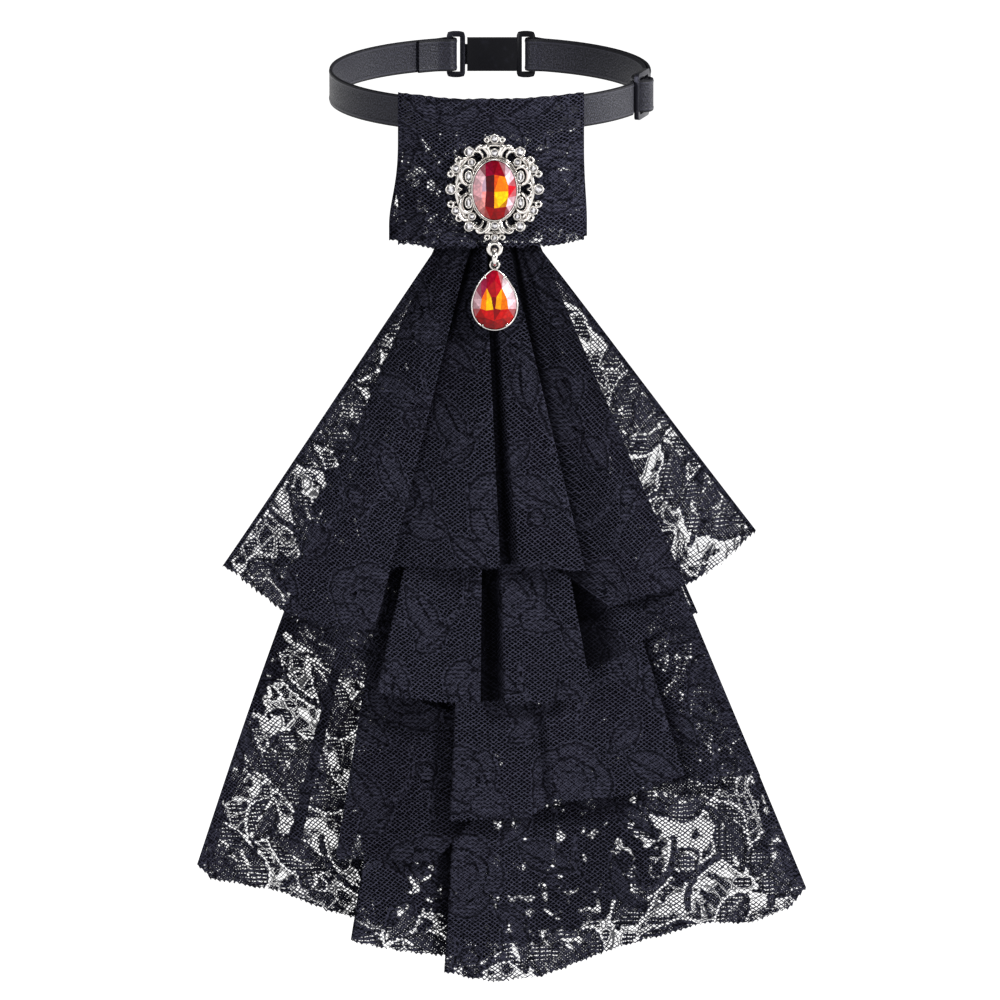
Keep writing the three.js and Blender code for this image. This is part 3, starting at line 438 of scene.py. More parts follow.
def tierMesh(tier):
    shape = tierShape
    half, length, layer = tier["half"], tier["length"], tier["layer"]
    places = tierPlaces(tier)
    count = len(places)
    # finer places between the table's own, eased in depth so that the folds are round
    wanted = [0.0]
    for i in range(count - 1):
        a, b = places[i], places[i + 1]
        width = abs((b["hem"] - a["hem"]) * half)
        if a["side"] or b["side"]:
            lap = (a if a["side"] else b)["lap"] * half
            width = lap if a["kind"] == b["kind"] and a["hem"] == b["hem"] else width + lap
        steps = max(shape["fewestSteps"], int(width / shape["spacing"]))
        wanted += [i + (k + 1) / steps for k in range(steps)]
    t = np.array(wanted)
    low = np.minimum(t.astype(int), count - 2)
    share = t - low

    # the cloth stays deep behind a fold before it comes forward again
    hold = np.array([shape["hold"] if place["side"] else 0.0 for place in places])

    def column(get, smooth=False):
        values = np.array([get(place) for place in places], float)
        s = softStep(np.clip((share - hold[low]) / (1 - hold[low] - hold[low + 1]), 0, 1)) if smooth else share
        return (values[low] * (1 - s) + values[low + 1] * s)[None, :]

    levels = np.linspace(0, 1, int(length / shape["spacing"]))[:, None]
    drop = column(lambda p: p["drop"])
    z = -shape["panelDrop"] - levels * (drop * length + shape["hemTurn"])
    opened = softStep((-shape["panelDrop"] - z) / shape["flareLength"])
    head = column(lambda p: p["head"] * shape["headHalf"] + p["side"] * shape["headStep"])
    hem = column(lambda p: p["hem"] * half - p["side"] * p.get("lap", 0) * half)
    place = column(lambda p: p["hem"])
    x = blend(head, hem, levels) - tier["bow"] * np.sin(np.pi * levels) * np.maximum(-place, 0) ** 2
    middle = shape["headPlane"] - layer * blend(shape["headPitch"], shape["hemPitch"], opened)
    depth = column(lambda p: p["depth"], smooth=True)
    y = middle + depth * blend(shape["headDepth"], shape["hemDepth"], opened)
    y = y + shape["sideFall"] * (x / shape["sideFallAt"]) ** 2
    # gathers that die out down the tier
    fading = np.clip(1 - z / -shape["gatherFall"], 0, 1) ** 1.5
    y = y + shape["gather"] * np.sin(t[None, :] * 5.1 + layer) * fading
    # cloth places: across follows the folded line, down is the drop
    stepped = np.hypot(np.diff(x, axis=1), np.diff(y, axis=1))
    along = np.concatenate([np.zeros((len(levels), 1)), np.cumsum(stepped, axis=1)], axis=1)
    anchor = int(np.argmin(np.abs(hem[0])))
    u = along - along[:, anchor:anchor + 1] + x[:, anchor:anchor + 1] + tier["shift"]
    v = -z + 0 * u
    hemLength = np.concatenate([[0], np.cumsum(np.abs(np.diff(hem[0])))])
    edge = np.minimum(hemLength * levels, (hemLength[-1] - hemLength) * levels)
    hemGap = (1 - levels) * drop * length
    # painted shade, carried to the lace as its dark attribute: light hardly reaches the deep side of a fold, nor the
    # top of the tier under the panel
    def shade(p):
        if p["side"]:
            return 1.0
        return shape["gapShade"] if p["kind"] == "gap" else shape["waveShade"] * (p["depth"] + 1)

    dark = column(shade, smooth=True) * blend(shape["headLight"], 1.0, opened) + shape["headShade"] * (1 - opened)
    # the middle lies double, and so do the turned side edges, but not the wings and the last of the hem
    opening = np.maximum(place - tier["openRight"], -tier["openLeft"] - place)
    hemShare = blend(0.3, 1, softStep(hemGap / tier["openHem"] - 0.5))
    doubled = shape["doubled"] * (1 - softStep(opening / shape["wingFade"] + 0.5)) * hemShare
    doubled = np.maximum(doubled, shape["close"])
    if layer == 0:
        doubled = np.maximum(doubled, shape["turned"] * softStep((shape["turnedWidth"] - edge) / 1.5))
        tuck = softStep(2 - np.abs(place - shape["tuck"]) / shape["tuckWidth"])
        doubled = np.maximum(doubled, 1.2 * tuck * softStep((hemGap - 12) / 6))
    fields = {"across": u, "down": v, "edge": edge, "hemGap": hemGap, "dark": dark, "doubled": doubled}
    fields.update(laceFields(u, v))
    area = float(np.sum(stepped[:-1] * np.abs(np.diff(z, axis=0))[:, 1:]))
    mesh = gridMesh(tier["name"] + "_lace", np.stack([x, y, z + 0 * x], axis=-1), fields)
    return mesh, float(along[-1, -1]), area


for tier in tiers:
    mesh, hemLength, area = tierMesh(tier)
    piece = addObject(tier["name"] + "_lace", mesh, lace)
    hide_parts(tier["name"])
    print(tier["name"], "hem", round(hemLength), "mm, area", round(area), "mm2,", len(mesh.polygons), "faces")


# Lace panel: one sheet folded over the strap, its front layer in front of the tiers

panelShape = {
    "left": -27.6, "right": 28.2, "backLeft": -30.3, "backRight": 29.1,
    "drop": 38.5, "frontBulge": 10.7, "flatHalf": 12.0, "sideReturn": 8.7, "backReturn": 3.5,
    "shoulder": 13.0, "tilt": 0.02, "reach": 0.95, "spacing": 0.6,
    "width": 56, "doubled": 0.5, "hemCord": 1.2, "place": (12, 7),
}
neck = {"halfWidth": 48.0, "halfDepth": 52.0, "strapHeight": 10.0, "strapWall": 1.0}


def strapPlane(x):
    return -neck["halfDepth"] * np.sqrt(1 - (x / neck["halfWidth"]) ** 2)


def panelMesh():
    shape = panelShape
    top = neck["strapHeight"] / 2
    across = np.linspace(-1, 1, int(shape["width"] / shape["spacing"]))
    frontDown = np.arange(0, shape["drop"] + top, shape["spacing"])
    turns = np.linspace(math.pi, 0, 9)[1:-1]
    path = [("front", top - d, 0) for d in frontDown[::-1]]
    path += [("fold", top, turn) for turn in turns]
    path += [("back", top - d, 0) for d in frontDown]
    points, down = [], []
    travelled = 0.0
    for kind, height, turn in path:
        lower = softStep((top - height) / shape["drop"])
        left = blend(shape["left"], shape["backLeft"], lower ** 4) if kind == "back" else shape["left"]
        right = blend(shape["right"], shape["backRight"], lower ** 4) if kind == "back" else shape["right"]
        x = blend(left, right, (across + 1) / 2)
        slope = strapPlane(x + 0.5) - strapPlane(x - 0.5)
        reach = shape["reach"] * np.hypot(1, slope)
        side = np.clip((np.abs(x) - shape["flatHalf"]) / (shape["right"] - shape["flatHalf"]), 0, 1.1)
        z = height + shape["tilt"] * x * lower
        # the top edge sags a little between its creases
        sag = -0.4 * np.exp(-((x + 10) / 7) ** 2) - 0.2 * np.exp(-((x - 8) / 8) ** 2) - 0.35
        sag = sag + 0.12 * np.sin(1.7 * x + np.sin(x))
        if kind == "fold":
            y = strapPlane(x) + reach * math.cos(turn)
            z = z + shape["reach"] * math.sin(turn)
        elif kind == "back":
            low = strapPlane(0.0) + shape["reach"] + shape["backReturn"] * side ** 1.5
            under = softStep((-top - 0.3 - height) / (shape["drop"] - top - 0.3))
            y = blend(strapPlane(x) + reach, low, under)
        else:
            low = -neck["halfDepth"] - shape["frontBulge"] + shape["sideReturn"] * side ** 1.5
            y = blend(strapPlane(x) - reach, low, softStep((top - height) / shape["shoulder"]))
            # the ironed crease down the middle and soft pulls beside the brooch
            y = y + lower * (0.5 * np.exp(-((x - 0.3) / 0.9) ** 2) + 0.35 * np.sin(x * 0.55 + height * 0.12))
        row = np.stack([x, y + 0 * x, z + sag * np.clip(1 - lower * 4, 0, 1)], axis=-1)
        if points:
            travelled += float(np.linalg.norm(row[len(row) // 2] - points[-1][len(row) // 2]))
        points.append(row)
        down.append(travelled)
    grid = np.array(points)
    u = grid[:, :, 0] + shape["place"][0]
    v = np.array(down)[:, None] + shape["place"][1] + 0 * u
    ends = np.minimum(v - v[0], v[-1] - v)
    sides = np.minimum(u - u[:, :1], u[:, -1:] - u)
    fields = {"across": u, "down": v, "edge": sides, "hemGap": ends + shape["hemCord"],
              "dark": 0 * u, "doubled": shape["doubled"] + 0 * u, **laceFields(u, v)}
    return gridMesh("lace_panel_sheet", grid, fields), travelled


mesh, panelLength = panelMesh()
panelSheet = addObject("lace_panel_sheet", mesh, lace)
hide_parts("lace_panel")
print("lace panel sheet", round(panelLength), "mm long")


# Neck strap: woven satin elastic that runs through the slider and folds round the clasp's rings

strapShape = {
    "stepDeg": 2.0, "pitch": 1.3, "sewn": 6.5, "foldLine": 20.0, "foldOpen": 120.0, "weaveClear": 9.0,
    "sliderAngle": -18.0, "sliderWire": 1.6, "sliderThick": 1.4, "sliderSlot": 3.4, "gap": 0.3,
    "claspPlane": 49.6, "claspCentre": 0.55, "plate": 15.0, "ringWire": 1.6, "ringSlot": 2.4, "claspGap": 0.6,
    "wall": 0.9,
}


def neckPoint(degrees, inset=0.0):
    angle = math.radians(degrees)
    w, d = neck["halfWidth"], neck["halfDepth"]
    out = np.array([d * math.cos(angle), w * math.sin(angle)])
    return np.array([w * math.cos(angle), d * math.sin(angle)]) - inset * out / np.linalg.norm(out)


def neckArc(start, end, inset=0.0):
    count = max(1, round(abs(end - start) / strapShape["stepDeg"]))
    return [neckPoint(blend(start, end, i / count), inset) for i in range(count + 1)]


def aroundBar(centre, radius, start, end):
    count = max(1, round(abs(end - start) / 20))
    angles = [math.radians(blend(start, end, i / count)) for i in range(count + 1)]
    return [np.array(centre) + radius * np.array([math.cos(a), math.sin(a)]) for a in angles]


def strapPaths():
    s = strapShape
    slider = neckPoint(s["sliderAngle"])
    angle = math.radians(s["sliderAngle"])
    across = np.array([-neck["halfWidth"] * math.sin(angle), neck["halfDepth"] * math.cos(angle)])
    across = across / np.linalg.norm(across)
    away = np.array([across[1], -across[0]])
    pitch = s["sliderSlot"] + s["sliderWire"]
    wall, gap = neck["strapWall"], s["gap"]
    eye = math.hypot(s["sliderWire"], s["sliderThick"]) / 2 + gap / 2 + wall / 2
    under = -(s["sliderThick"] / 2 + gap + wall / 2)
    over = eye + wall + gap
    slot = pitch - s["sliderWire"] / 2 - gap - wall / 2
    weave = [(pitch + s["sliderWire"] / 2, under), (slot + wall / 2, under), (slot, 0.4 * under),
             (0.94 * slot, 0.17 * over), (0.74 * slot, 0.66 * over), (0.38 * slot, 0.97 * over)]
    layer = under - s["pitch"]
    looped = [(1.3 * pitch, layer - 0.5 * wall), (0.84 * pitch, layer - 1.2 * wall),
              (0.52 * pitch, layer - 0.9 * wall),
              (0.7 * eye, -1.17 * eye), (0.1 * eye, -eye)]
    near = lambda along, out: slider + across * along + away * out
    ring = s["ringSlot"] + 2 * s["ringWire"]
    leftBar = (s["claspCentre"] - s["plate"] / 2 - s["claspGap"] - ring + s["ringWire"] / 2, s["claspPlane"])
    rightBar = (s["claspCentre"] + s["plate"] / 2 + ring - s["ringWire"] / 2, s["claspPlane"])
    radius = math.hypot(s["ringWire"], s["ringWire"]) / 2 + gap + wall / 2
    sewn = math.degrees(s["sewn"] / neck["halfWidth"])
    main = neckArc(90 + s["foldLine"] + sewn, 90 + s["foldLine"], s["pitch"])
    main += aroundBar(leftBar, radius, -s["foldOpen"], s["foldOpen"])
    main += neckArc(90 + s["foldLine"], 360 + s["sliderAngle"] - s["weaveClear"])
    main += [near(-a, o) for a, o in weave] + [near(a, o) for a, o in weave[::-1]]
    main += neckArc(360 + s["sliderAngle"] + s["weaveClear"], 450 - s["foldLine"])
    main += aroundBar(rightBar, radius, 180 - s["foldOpen"], 180 + s["foldOpen"])
    main += neckArc(90 - s["foldLine"], s["sliderAngle"] + s["weaveClear"], s["pitch"])
    main += [near(a, o) for a, o in looped]
    loop = [slider + eye * (across * math.cos(a) + away * math.sin(a)) for a in np.radians(np.arange(-84, 250, 15))]
    return main + loop


def smoothPath(points, spacing):
    points = np.array(points)
    step = np.linalg.norm(np.diff(points, axis=0), axis=1)
    points = points[np.concatenate([[True], step > 0.05])]
    step = np.linalg.norm(np.diff(points, axis=0), axis=1)
    place = np.concatenate([[0], np.cumsum(step)])
    wanted = np.linspace(0, place[-1], int(place[-1] / spacing))
    line = np.stack([np.interp(wanted, place, points[:, i]) for i in range(2)], axis=1)
    for _ in range(2):
        line[1:-1] = (line[:-2] + 2 * line[1:-1] + line[2:]) / 4
    return line, wanted


def strapMesh():
    s = strapShape
    line, place = smoothPath(strapPaths(), 0.45)
    tangent = np.gradient(line, axis=0)
    tangent = tangent / np.linalg.norm(tangent, axis=1)[:, None]
    normal = np.stack([tangent[:, 1], -tangent[:, 0]], axis=1)
    half, wall = neck["strapHeight"] / 2, s["wall"] / 2
    # cross section: flat faces with a raised ridge inside each edge and rounded edges
    heights = np.linspace(-half + 0.35, half - 0.35, 17)
    ridge = lambda h: 0.14 * np.exp(-((abs(h) - half + 1.0) / 0.25) ** 2)
    section = [(h, wall + ridge(h)) for h in heights]
    section += [(half - 0.1, wall * 0.75), (half, 0.0), (half - 0.1, -wall * 0.75)]
    section += [(h, -wall - ridge(h)) for h in heights[::-1]]
    section += [(-half + 0.1, -wall * 0.75), (-half, 0.0), (-half + 0.1, wall * 0.75)]
    section = np.array(section)
    x = line[:, None, 0] + normal[:, None, 0] * section[None, :, 1]
    y = line[:, None, 1] + normal[:, None, 1] * section[None, :, 1]
    z = 0 * x + section[None, :, 0]
    fields = {"across": place[:, None] + 0 * x, "down": z}
    mesh = gridMesh("neck_strap_ribbon", np.stack([x, y, z], axis=-1), fields, closed=True)
    return mesh, place[-1]


# Satin elastic, woven: shiny filament floats over rubber cores, with fine ribs along the strap.
# Ribs and floats are drawn coarser than the real ones, so that they show
def satinMaterial():
    material, tree, surface = newMaterial("satin_elastic_black", Specular_IOR_Level=0.26)
    node = partial(addNode, tree)
    u, v = (node("Attribute", attribute_name=key, out="Fac") for key in ("across", "down"))
    off = node("Math", (v,), "ABSOLUTE")
    slant = node("Math", (v, 0.5, u), "MULTIPLY_ADD")
    ribWave, floatWave = (
        node("Math", (node("Math", (way, 2 * math.pi / pitch), "MULTIPLY"),), "SINE")
        for way, pitch in ((v, 0.45), (slant, 0.7)))
    place = node("CombineXYZ", (u, v))
    noise = node("TexNoise", {"Vector": place, "Scale": 1.9, "Detail": 3.0}, out="Fac")
    # painted sheen: the middle is drawn lighter in a glittering mottle, as the floats on top catch light, while the
    # selvedges stay plain and dark
    middle = node("MapRange", (off, 4.4, 3.2), **eased)
    glitter = node("MapRange", (noise, 0.3, 0.85), **eased)
    # a cord is woven in just inside each selvedge, and its raised top is painted lighter as a highlight
    cordGap = node("Math", (node("Math", (off, 4.0), "SUBTRACT"),), "ABSOLUTE")
    cordHighlight = node("MapRange", (cordGap, 0.4, 0.1, 0.0, 0.55), **eased)
    shine = node("Math", (node("Math", (middle, glitter), "MULTIPLY"), cordHighlight), "MAXIMUM")
    colour = node("Mix", {0: shine, 6: linear("#0d0d14"), 7: linear("#3a3a47")}, out=2, data_type="RGBA")
    # long floats gloss on top, the ground between them is duller
    gloss = node("MapRange", (shine, 0.0, 1.0, 0.55, 0.24))
    height = node("Math", (ribWave, node("Math", (floatWave, 0.5), "MULTIPLY")), "ADD")
    height = node("Math", (noise, 3.5, height), "MULTIPLY_ADD")
    bump = node("Bump", {"Strength": 0.3, "Distance": 0.0001, "Height": height})
    tree.links.new(gloss, surface.inputs["Roughness"])
    tree.links.new(colour, surface.inputs["Base Color"])
    tree.links.new(bump, surface.inputs["Normal"])
    return material


satin = satinMaterial()
mesh, strapLength = strapMesh()
ribbon = addObject("neck_strap_ribbon", mesh, satin)
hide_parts("neck_strap")
print("neck strap", round(strapLength), "mm long")


# Slider and clasp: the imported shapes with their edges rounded

def roundedCopy(name, node, width, material, corner=0.0):
    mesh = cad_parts[node].data.copy()
    mesh.name = name
    mesh.materials.clear()
    shape = bmesh.new()
    shape.from_mesh(mesh)
    bmesh.ops.remove_doubles(shape, verts=shape.verts, dist=1e-6)
    bmesh.ops.dissolve_limit(shape, angle_limit=math.radians(2), verts=shape.verts, edges=shape.edges)
    if corner:
        # the wire rings turn round at their ends
        top = max(vert.co.z for vert in shape.verts)
        ends = [edge for edge in shape.edges if all(abs(vert.co.z) > 0.97 * top for vert in edge.verts)
                and abs((edge.verts[0].co - edge.verts[1].co).normalized().y) > 0.95]
        bmesh.ops.bevel(shape, geom=ends, offset=corner * mm, segments=6, profile=0.5, affect="EDGES",
                        clamp_overlap=True)
    sharp = [edge for edge in shape.edges if len(edge.link_faces) == 2 and edge.calc_face_angle() > math.radians(25)]
    bmesh.ops.bevel(shape, geom=sharp, offset=width * mm, segments=4, profile=0.5, affect="EDGES", clamp_overlap=True)
    shape.to_mesh(mesh)
    shape.free()
    mesh.shade_smooth()
    piece = addObject(name, mesh, material)
    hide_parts(node)


# Die cast zinc under black satin lacquer: an even soft gloss, a little worn and brighter in the scuffs
def lacquerMaterial(name, baseHex, wornHex, roughness, metallic):
    material, tree, surface = newMaterial(name, Metallic=metallic, Specular_IOR_Level=0.16)
    node = partial(addNode, tree)
    place = node("TexCoord", out="Object")
    mist = node("TexNoise", {"Vector": place, "Scale": 60.0, "Detail": 4.0}, out="Fac")
    scuff = node("TexNoise", {"Vector": place, "Scale": 420.0, "Detail": 3.0}, out="Fac")
    worn = node("MapRange", (scuff, 0.58, 0.75), **eased)
    colour = node("Mix", {0: worn, 6: linear(baseHex), 7: linear(wornHex)}, out=2, data_type="RGBA")
    gloss = node("MapRange", (mist, 0.3, 0.7, roughness - 0.05, roughness + 0.08))
    bump = node("Bump", {"Strength": 0.15, "Distance": 0.00005, "Height": scuff})
    for key, source in (("Base Color", colour), ("Roughness", gloss), ("Normal", bump)):
        tree.links.new(source, surface.inputs[key])
    return material


plateLacquer = lacquerMaterial("satin_lacquer_black", "#08080d", "#121219", 0.45, 0.0)
wireLacquer = lacquerMaterial("gunmetal_plated_wire", "#34343c", "#55555e", 0.28, 0.9)
roundedCopy("slider_frame", "slider", 0.55, wireLacquer)
roundedCopy("clasp_tongue_ring", "clasp_tongue", 0.5, wireLacquer, 1.9)
roundedCopy("clasp_socket_plate", "clasp_socket", 0.5, plateLacquer, 1.9)
print("slider and clasp rounded")


# Brooch and drop: places are millimetres across, up and forward of the piece's own middle

def tube(parts, path, radius, sides=8, closed=False, flat=1.0):
    path = np.array(path, float)
    count = len(path)
    radius = np.broadcast_to(np.asarray(radius, float), (count,))
    place = np.arange(count)
    if closed:
        after, before = np.roll(place, -1), np.roll(place, 1)
    else:
        after, before = np.minimum(place + 1, count - 1), np.maximum(place - 1, 0)
    along = path[after] - path[before]
    along = along / np.linalg.norm(along, axis=1)[:, None]
    side = np.cross(along, (0, 0, 1.0))
    size = np.linalg.norm(side, axis=1)[:, None]
    side = np.where(size < 0.2, (1.0, 0, 0), side / np.maximum(size, 0.01))
    up = np.cross(side, along)
    turn = 2 * np.pi * np.arange(sides) / sides
    ring = side[:, None] * np.cos(turn)[None, :, None] + flat * up[:, None] * np.sin(turn)[None, :, None]
    points = path[:, None] + radius[:, None, None] * ring
    addGrid(parts, points, closed)


# Rows of points joined into a skin, its ends capped unless the rows close on themselves
def addGrid(parts, points, closed):
    start = len(parts["points"])
    count, sides = points.shape[:2]
    parts["points"] += points.reshape(-1, 3).tolist()
    for r in range(count if closed else count - 1):
        for c in range(sides):
            low, high = start + r * sides, start + (r + 1) % count * sides
            parts["faces"].append([low + c, low + (c + 1) % sides, high + (c + 1) % sides, high + c])
    if not closed:
        parts["faces"].append([start + c for c in reversed(range(sides))])
        parts["faces"].append([start + (count - 1) * sides + c for c in range(sides)])


def oval(halfWidth, halfHeight, x=0.0, y=0.0, forward=0.0, turn=0.0, start=0.0, end=360.0, count=32):
    angle = np.radians(np.linspace(start, end, count, endpoint=end - start < 360))
    px, py = halfWidth * np.cos(angle), halfHeight * np.sin(angle)
    c, s = math.cos(math.radians(turn)), math.sin(math.radians(turn))
    return np.stack([x + px * c - py * s, y + px * s + py * c, forward + 0 * px], axis=1)


# A profile of (outward, forward) rows carried round an oval
def rim(parts, halfWidth, halfHeight, profile, x=0.0, y=0.0, sides=20):
    rings = [oval(halfWidth + out, halfHeight + out, x, y, forward, count=sides) for out, forward in profile]
    addGrid(parts, np.array(rings), False)


def bead(parts, x, y, forward, radius, sides=8):
    levels = np.radians([-80, -45, 0, 45, 80])
    rim(parts, 0, 0, [(radius * math.cos(a), forward + radius * math.sin(a)) for a in levels], x, y, sides)


# Parts in local millimetres become one mesh, seen from the front with up as +Z
def finishParts(name, parts, centre, smooth=True, lift=0.0):
    mesh = bpy.data.meshes.new(name)
    local = np.array(parts["points"])
    x, y, z = centre
    world = np.stack([x + local[:, 0], y - local[:, 2], z + local[:, 1]], axis=1) * mm
    mesh.from_pydata(world.tolist(), [], parts["faces"])
    if "colours" in parts:
        layer = mesh.color_attributes.new("facet", "FLOAT_COLOR", "CORNER")
        corners = [colour for colour, face in zip(parts["colours"], parts["faces"]) for _ in face]
        layer.data.foreach_set("color", np.array(corners, dtype=np.float32).ravel())
    # forward places also set the plate's painted shade in low places; lift raises a whole piece out of that shade
    layer = mesh.attributes.new("forward", "FLOAT", "POINT")
    layer.data.foreach_set("value", (local[:, 2] + lift).astype(np.float32))
    if smooth:
        mesh.shade_smooth()
    return mesh


# Polished rhodium plate over a cast alloy: a bright mirror, greyed by painted shade in the pierced low places
def plateMaterial():
    material, tree, surface = newMaterial("polished_rhodium_plate", Metallic=1.0, Roughness=0.16)
    node = partial(addNode, tree)
    forward = node("Attribute", attribute_name="forward", out="Fac")
    place = node("TexCoord", out="Object")
    cast = node("TexNoise", {"Vector": place, "Scale": 900.0, "Detail": 2.0}, out="Fac")
    # painted shade: the colour darkens from the raised tops to the low places, by the forward attribute and a little
    # casting noise
    raised = node("MapRange", (node("Math", (cast, 0.9, forward), "MULTIPLY_ADD"), 0.6, 2.1),
                  **eased)
    colour = node("Mix", {0: raised, 6: linear("#5f5a58"), 7: linear("#e4e0dc")}, out=2, data_type="RGBA")
    bump = node("Bump", {"Strength": 0.25, "Distance": 0.00008, "Height": cast})
    tree.links.new(colour, surface.inputs["Base Color"])
    tree.links.new(bump, surface.inputs["Normal"])
    return material


# Foil backed lead glass, cut and polished: each facet is painted with the glass's colour and with the reflections and
# sparkle seen in it, under a clear gloss
def glassMaterial(name, mottle, gloss):
    material, tree, surface = newMaterial(name, Roughness=0.06, IOR=1.55, Specular_IOR_Level=gloss)
    node = partial(addNode, tree)
    facet = node("Attribute", attribute_name="facet", out="Color")
    place = node("TexCoord", out="Object")
    shimmer = node("TexVoronoi", {"Vector": place, "Scale": 650.0}, out="Distance", feature="DISTANCE_TO_EDGE")
    tone = node("MapRange", (shimmer, 0.0, 0.5, 1.0 - mottle, 1.0 + mottle))
    colour = node("VectorMath", (facet, tone), "MULTIPLY")
    tree.links.new(colour, surface.inputs["Base Color"])
    return material


silver = plateMaterial()
foiledGlass = glassMaterial("foiled_glass_fire_red", 0.25, 0.16)
clearGlass = glassMaterial("foiled_glass_clear", 0.3, 0.5)

brooch = {
    "centre": (1.4, -63.5, -19.7), "stone": (6.62, 9.12), "ring": (11.4, 13.4), "ringWire": 0.7,
    "bezel": [(0.55, 0.0), (0.6, 1.2), (0.42, 2.7), (0.3, 3.2), (0.14, 3.36), (0.0, 3.3), (-0.04, 3.1), (0.0, 0.4)],
    "cup": [(-0.2, 0.1), (0.0, 0.3), (0.05, 1.6), (-0.08, 1.95), (-0.32, 2.0), (-0.5, 1.7), (-0.58, 0.5)],
    "claw": 0.27, "stud": 0.36, "studStep": 1.45,
    "cups": rows(["x", "y", "radius", "tall", "lift"], [
        [0, 15.4, 1.45, 1, 0], [7.6, 11.4, 1.6, 1, 0], [11.6, 6.4, 1.4, 1, 0], [13.1, 0, 1.65, 1, 0],
        [11.6, -6.5, 1.4, 1, 0], [7.6, -11.3, 1.6, 1, 0], [0, -14.6, 1.2, 1, 0.9],
        [0, 11.06, 1.4, 1, 0.2], [6.8, 8.3, 1.25, 1, 0.2], [7.75, 4, 1.2, 1.5, 0.3],
        [7.75, -4, 1.2, 1.5, 0.3], [6.8, -8.2, 1.25, 1, 0.2], [0, -11.06, 1.4, 1, 0.2],
    ]),
    "openRings": rows(["x", "y", "radius"], [
        [2.3, 15, 1.05], [10.7, 8.8, 1.3], [13.1, 4.6, 1.2], [13.1, -4.6, 1.2], [10.6, -8.8, 1.3], [2.2, -14.7, 1.1],
    ]),
    "openWire": 0.4,
    # leaves are thick in the middle and drawn out at the ends
    "leaves": rows(["x", "y", "width", "height", "turn", "start", "end", "thick"], [
        [8.0, 4.1, 2.1, 2.9, -10, -80, 150, 0.85],
        [7.9, 4.1, 1.8, 2.7, -10, 150, 290, 0.55],
        [8.0, -4.1, 2.1, 2.9, 10, -150, 80, 0.85],
        [7.9, -4.1, 1.8, 2.7, 10, 70, 210, 0.55],
        [9.6, 1.15, 1.4, 1.0, 0, -90, 200, 0.42],
        [9.6, -1.15, 1.4, 1.0, 0, -200, 90, 0.42],
        [3.7, 11.0, 1.5, 2.3, -32, 20, 250, 0.72],
        [3.7, -11.0, 1.5, 2.3, 32, 110, 340, 0.72],
        [2.4, 11.3, 0.9, 1.9, -12, 40, 260, 0.6],
        [2.4, -11.3, 0.9, 1.9, 12, 100, 320, 0.6],
        [5.0, 10.3, 1.2, 1.7, -42, 20, 250, 0.6],
        [5.0, -10.3, 1.2, 1.7, 42, 110, 340, 0.6],
        [9.2, 8.1, 1.5, 1.0, -48, -30, 210, 0.6],
        [9.2, -8.1, 1.5, 1.0, 48, -210, 30, 0.6],
    ]),
    "eyelet": {"y": -17.83, "radius": 1.75, "wire": 0.76, "flat": 0.55, "forward": 3.3},
    "pin": {"y": 2.0, "half": 6.0, "wire": 0.6, "back": -1.9},
}


def bothSides(table):
    return [{**row, "side": side} for row in table for side in ((1, -1) if row["x"] else (1,))]


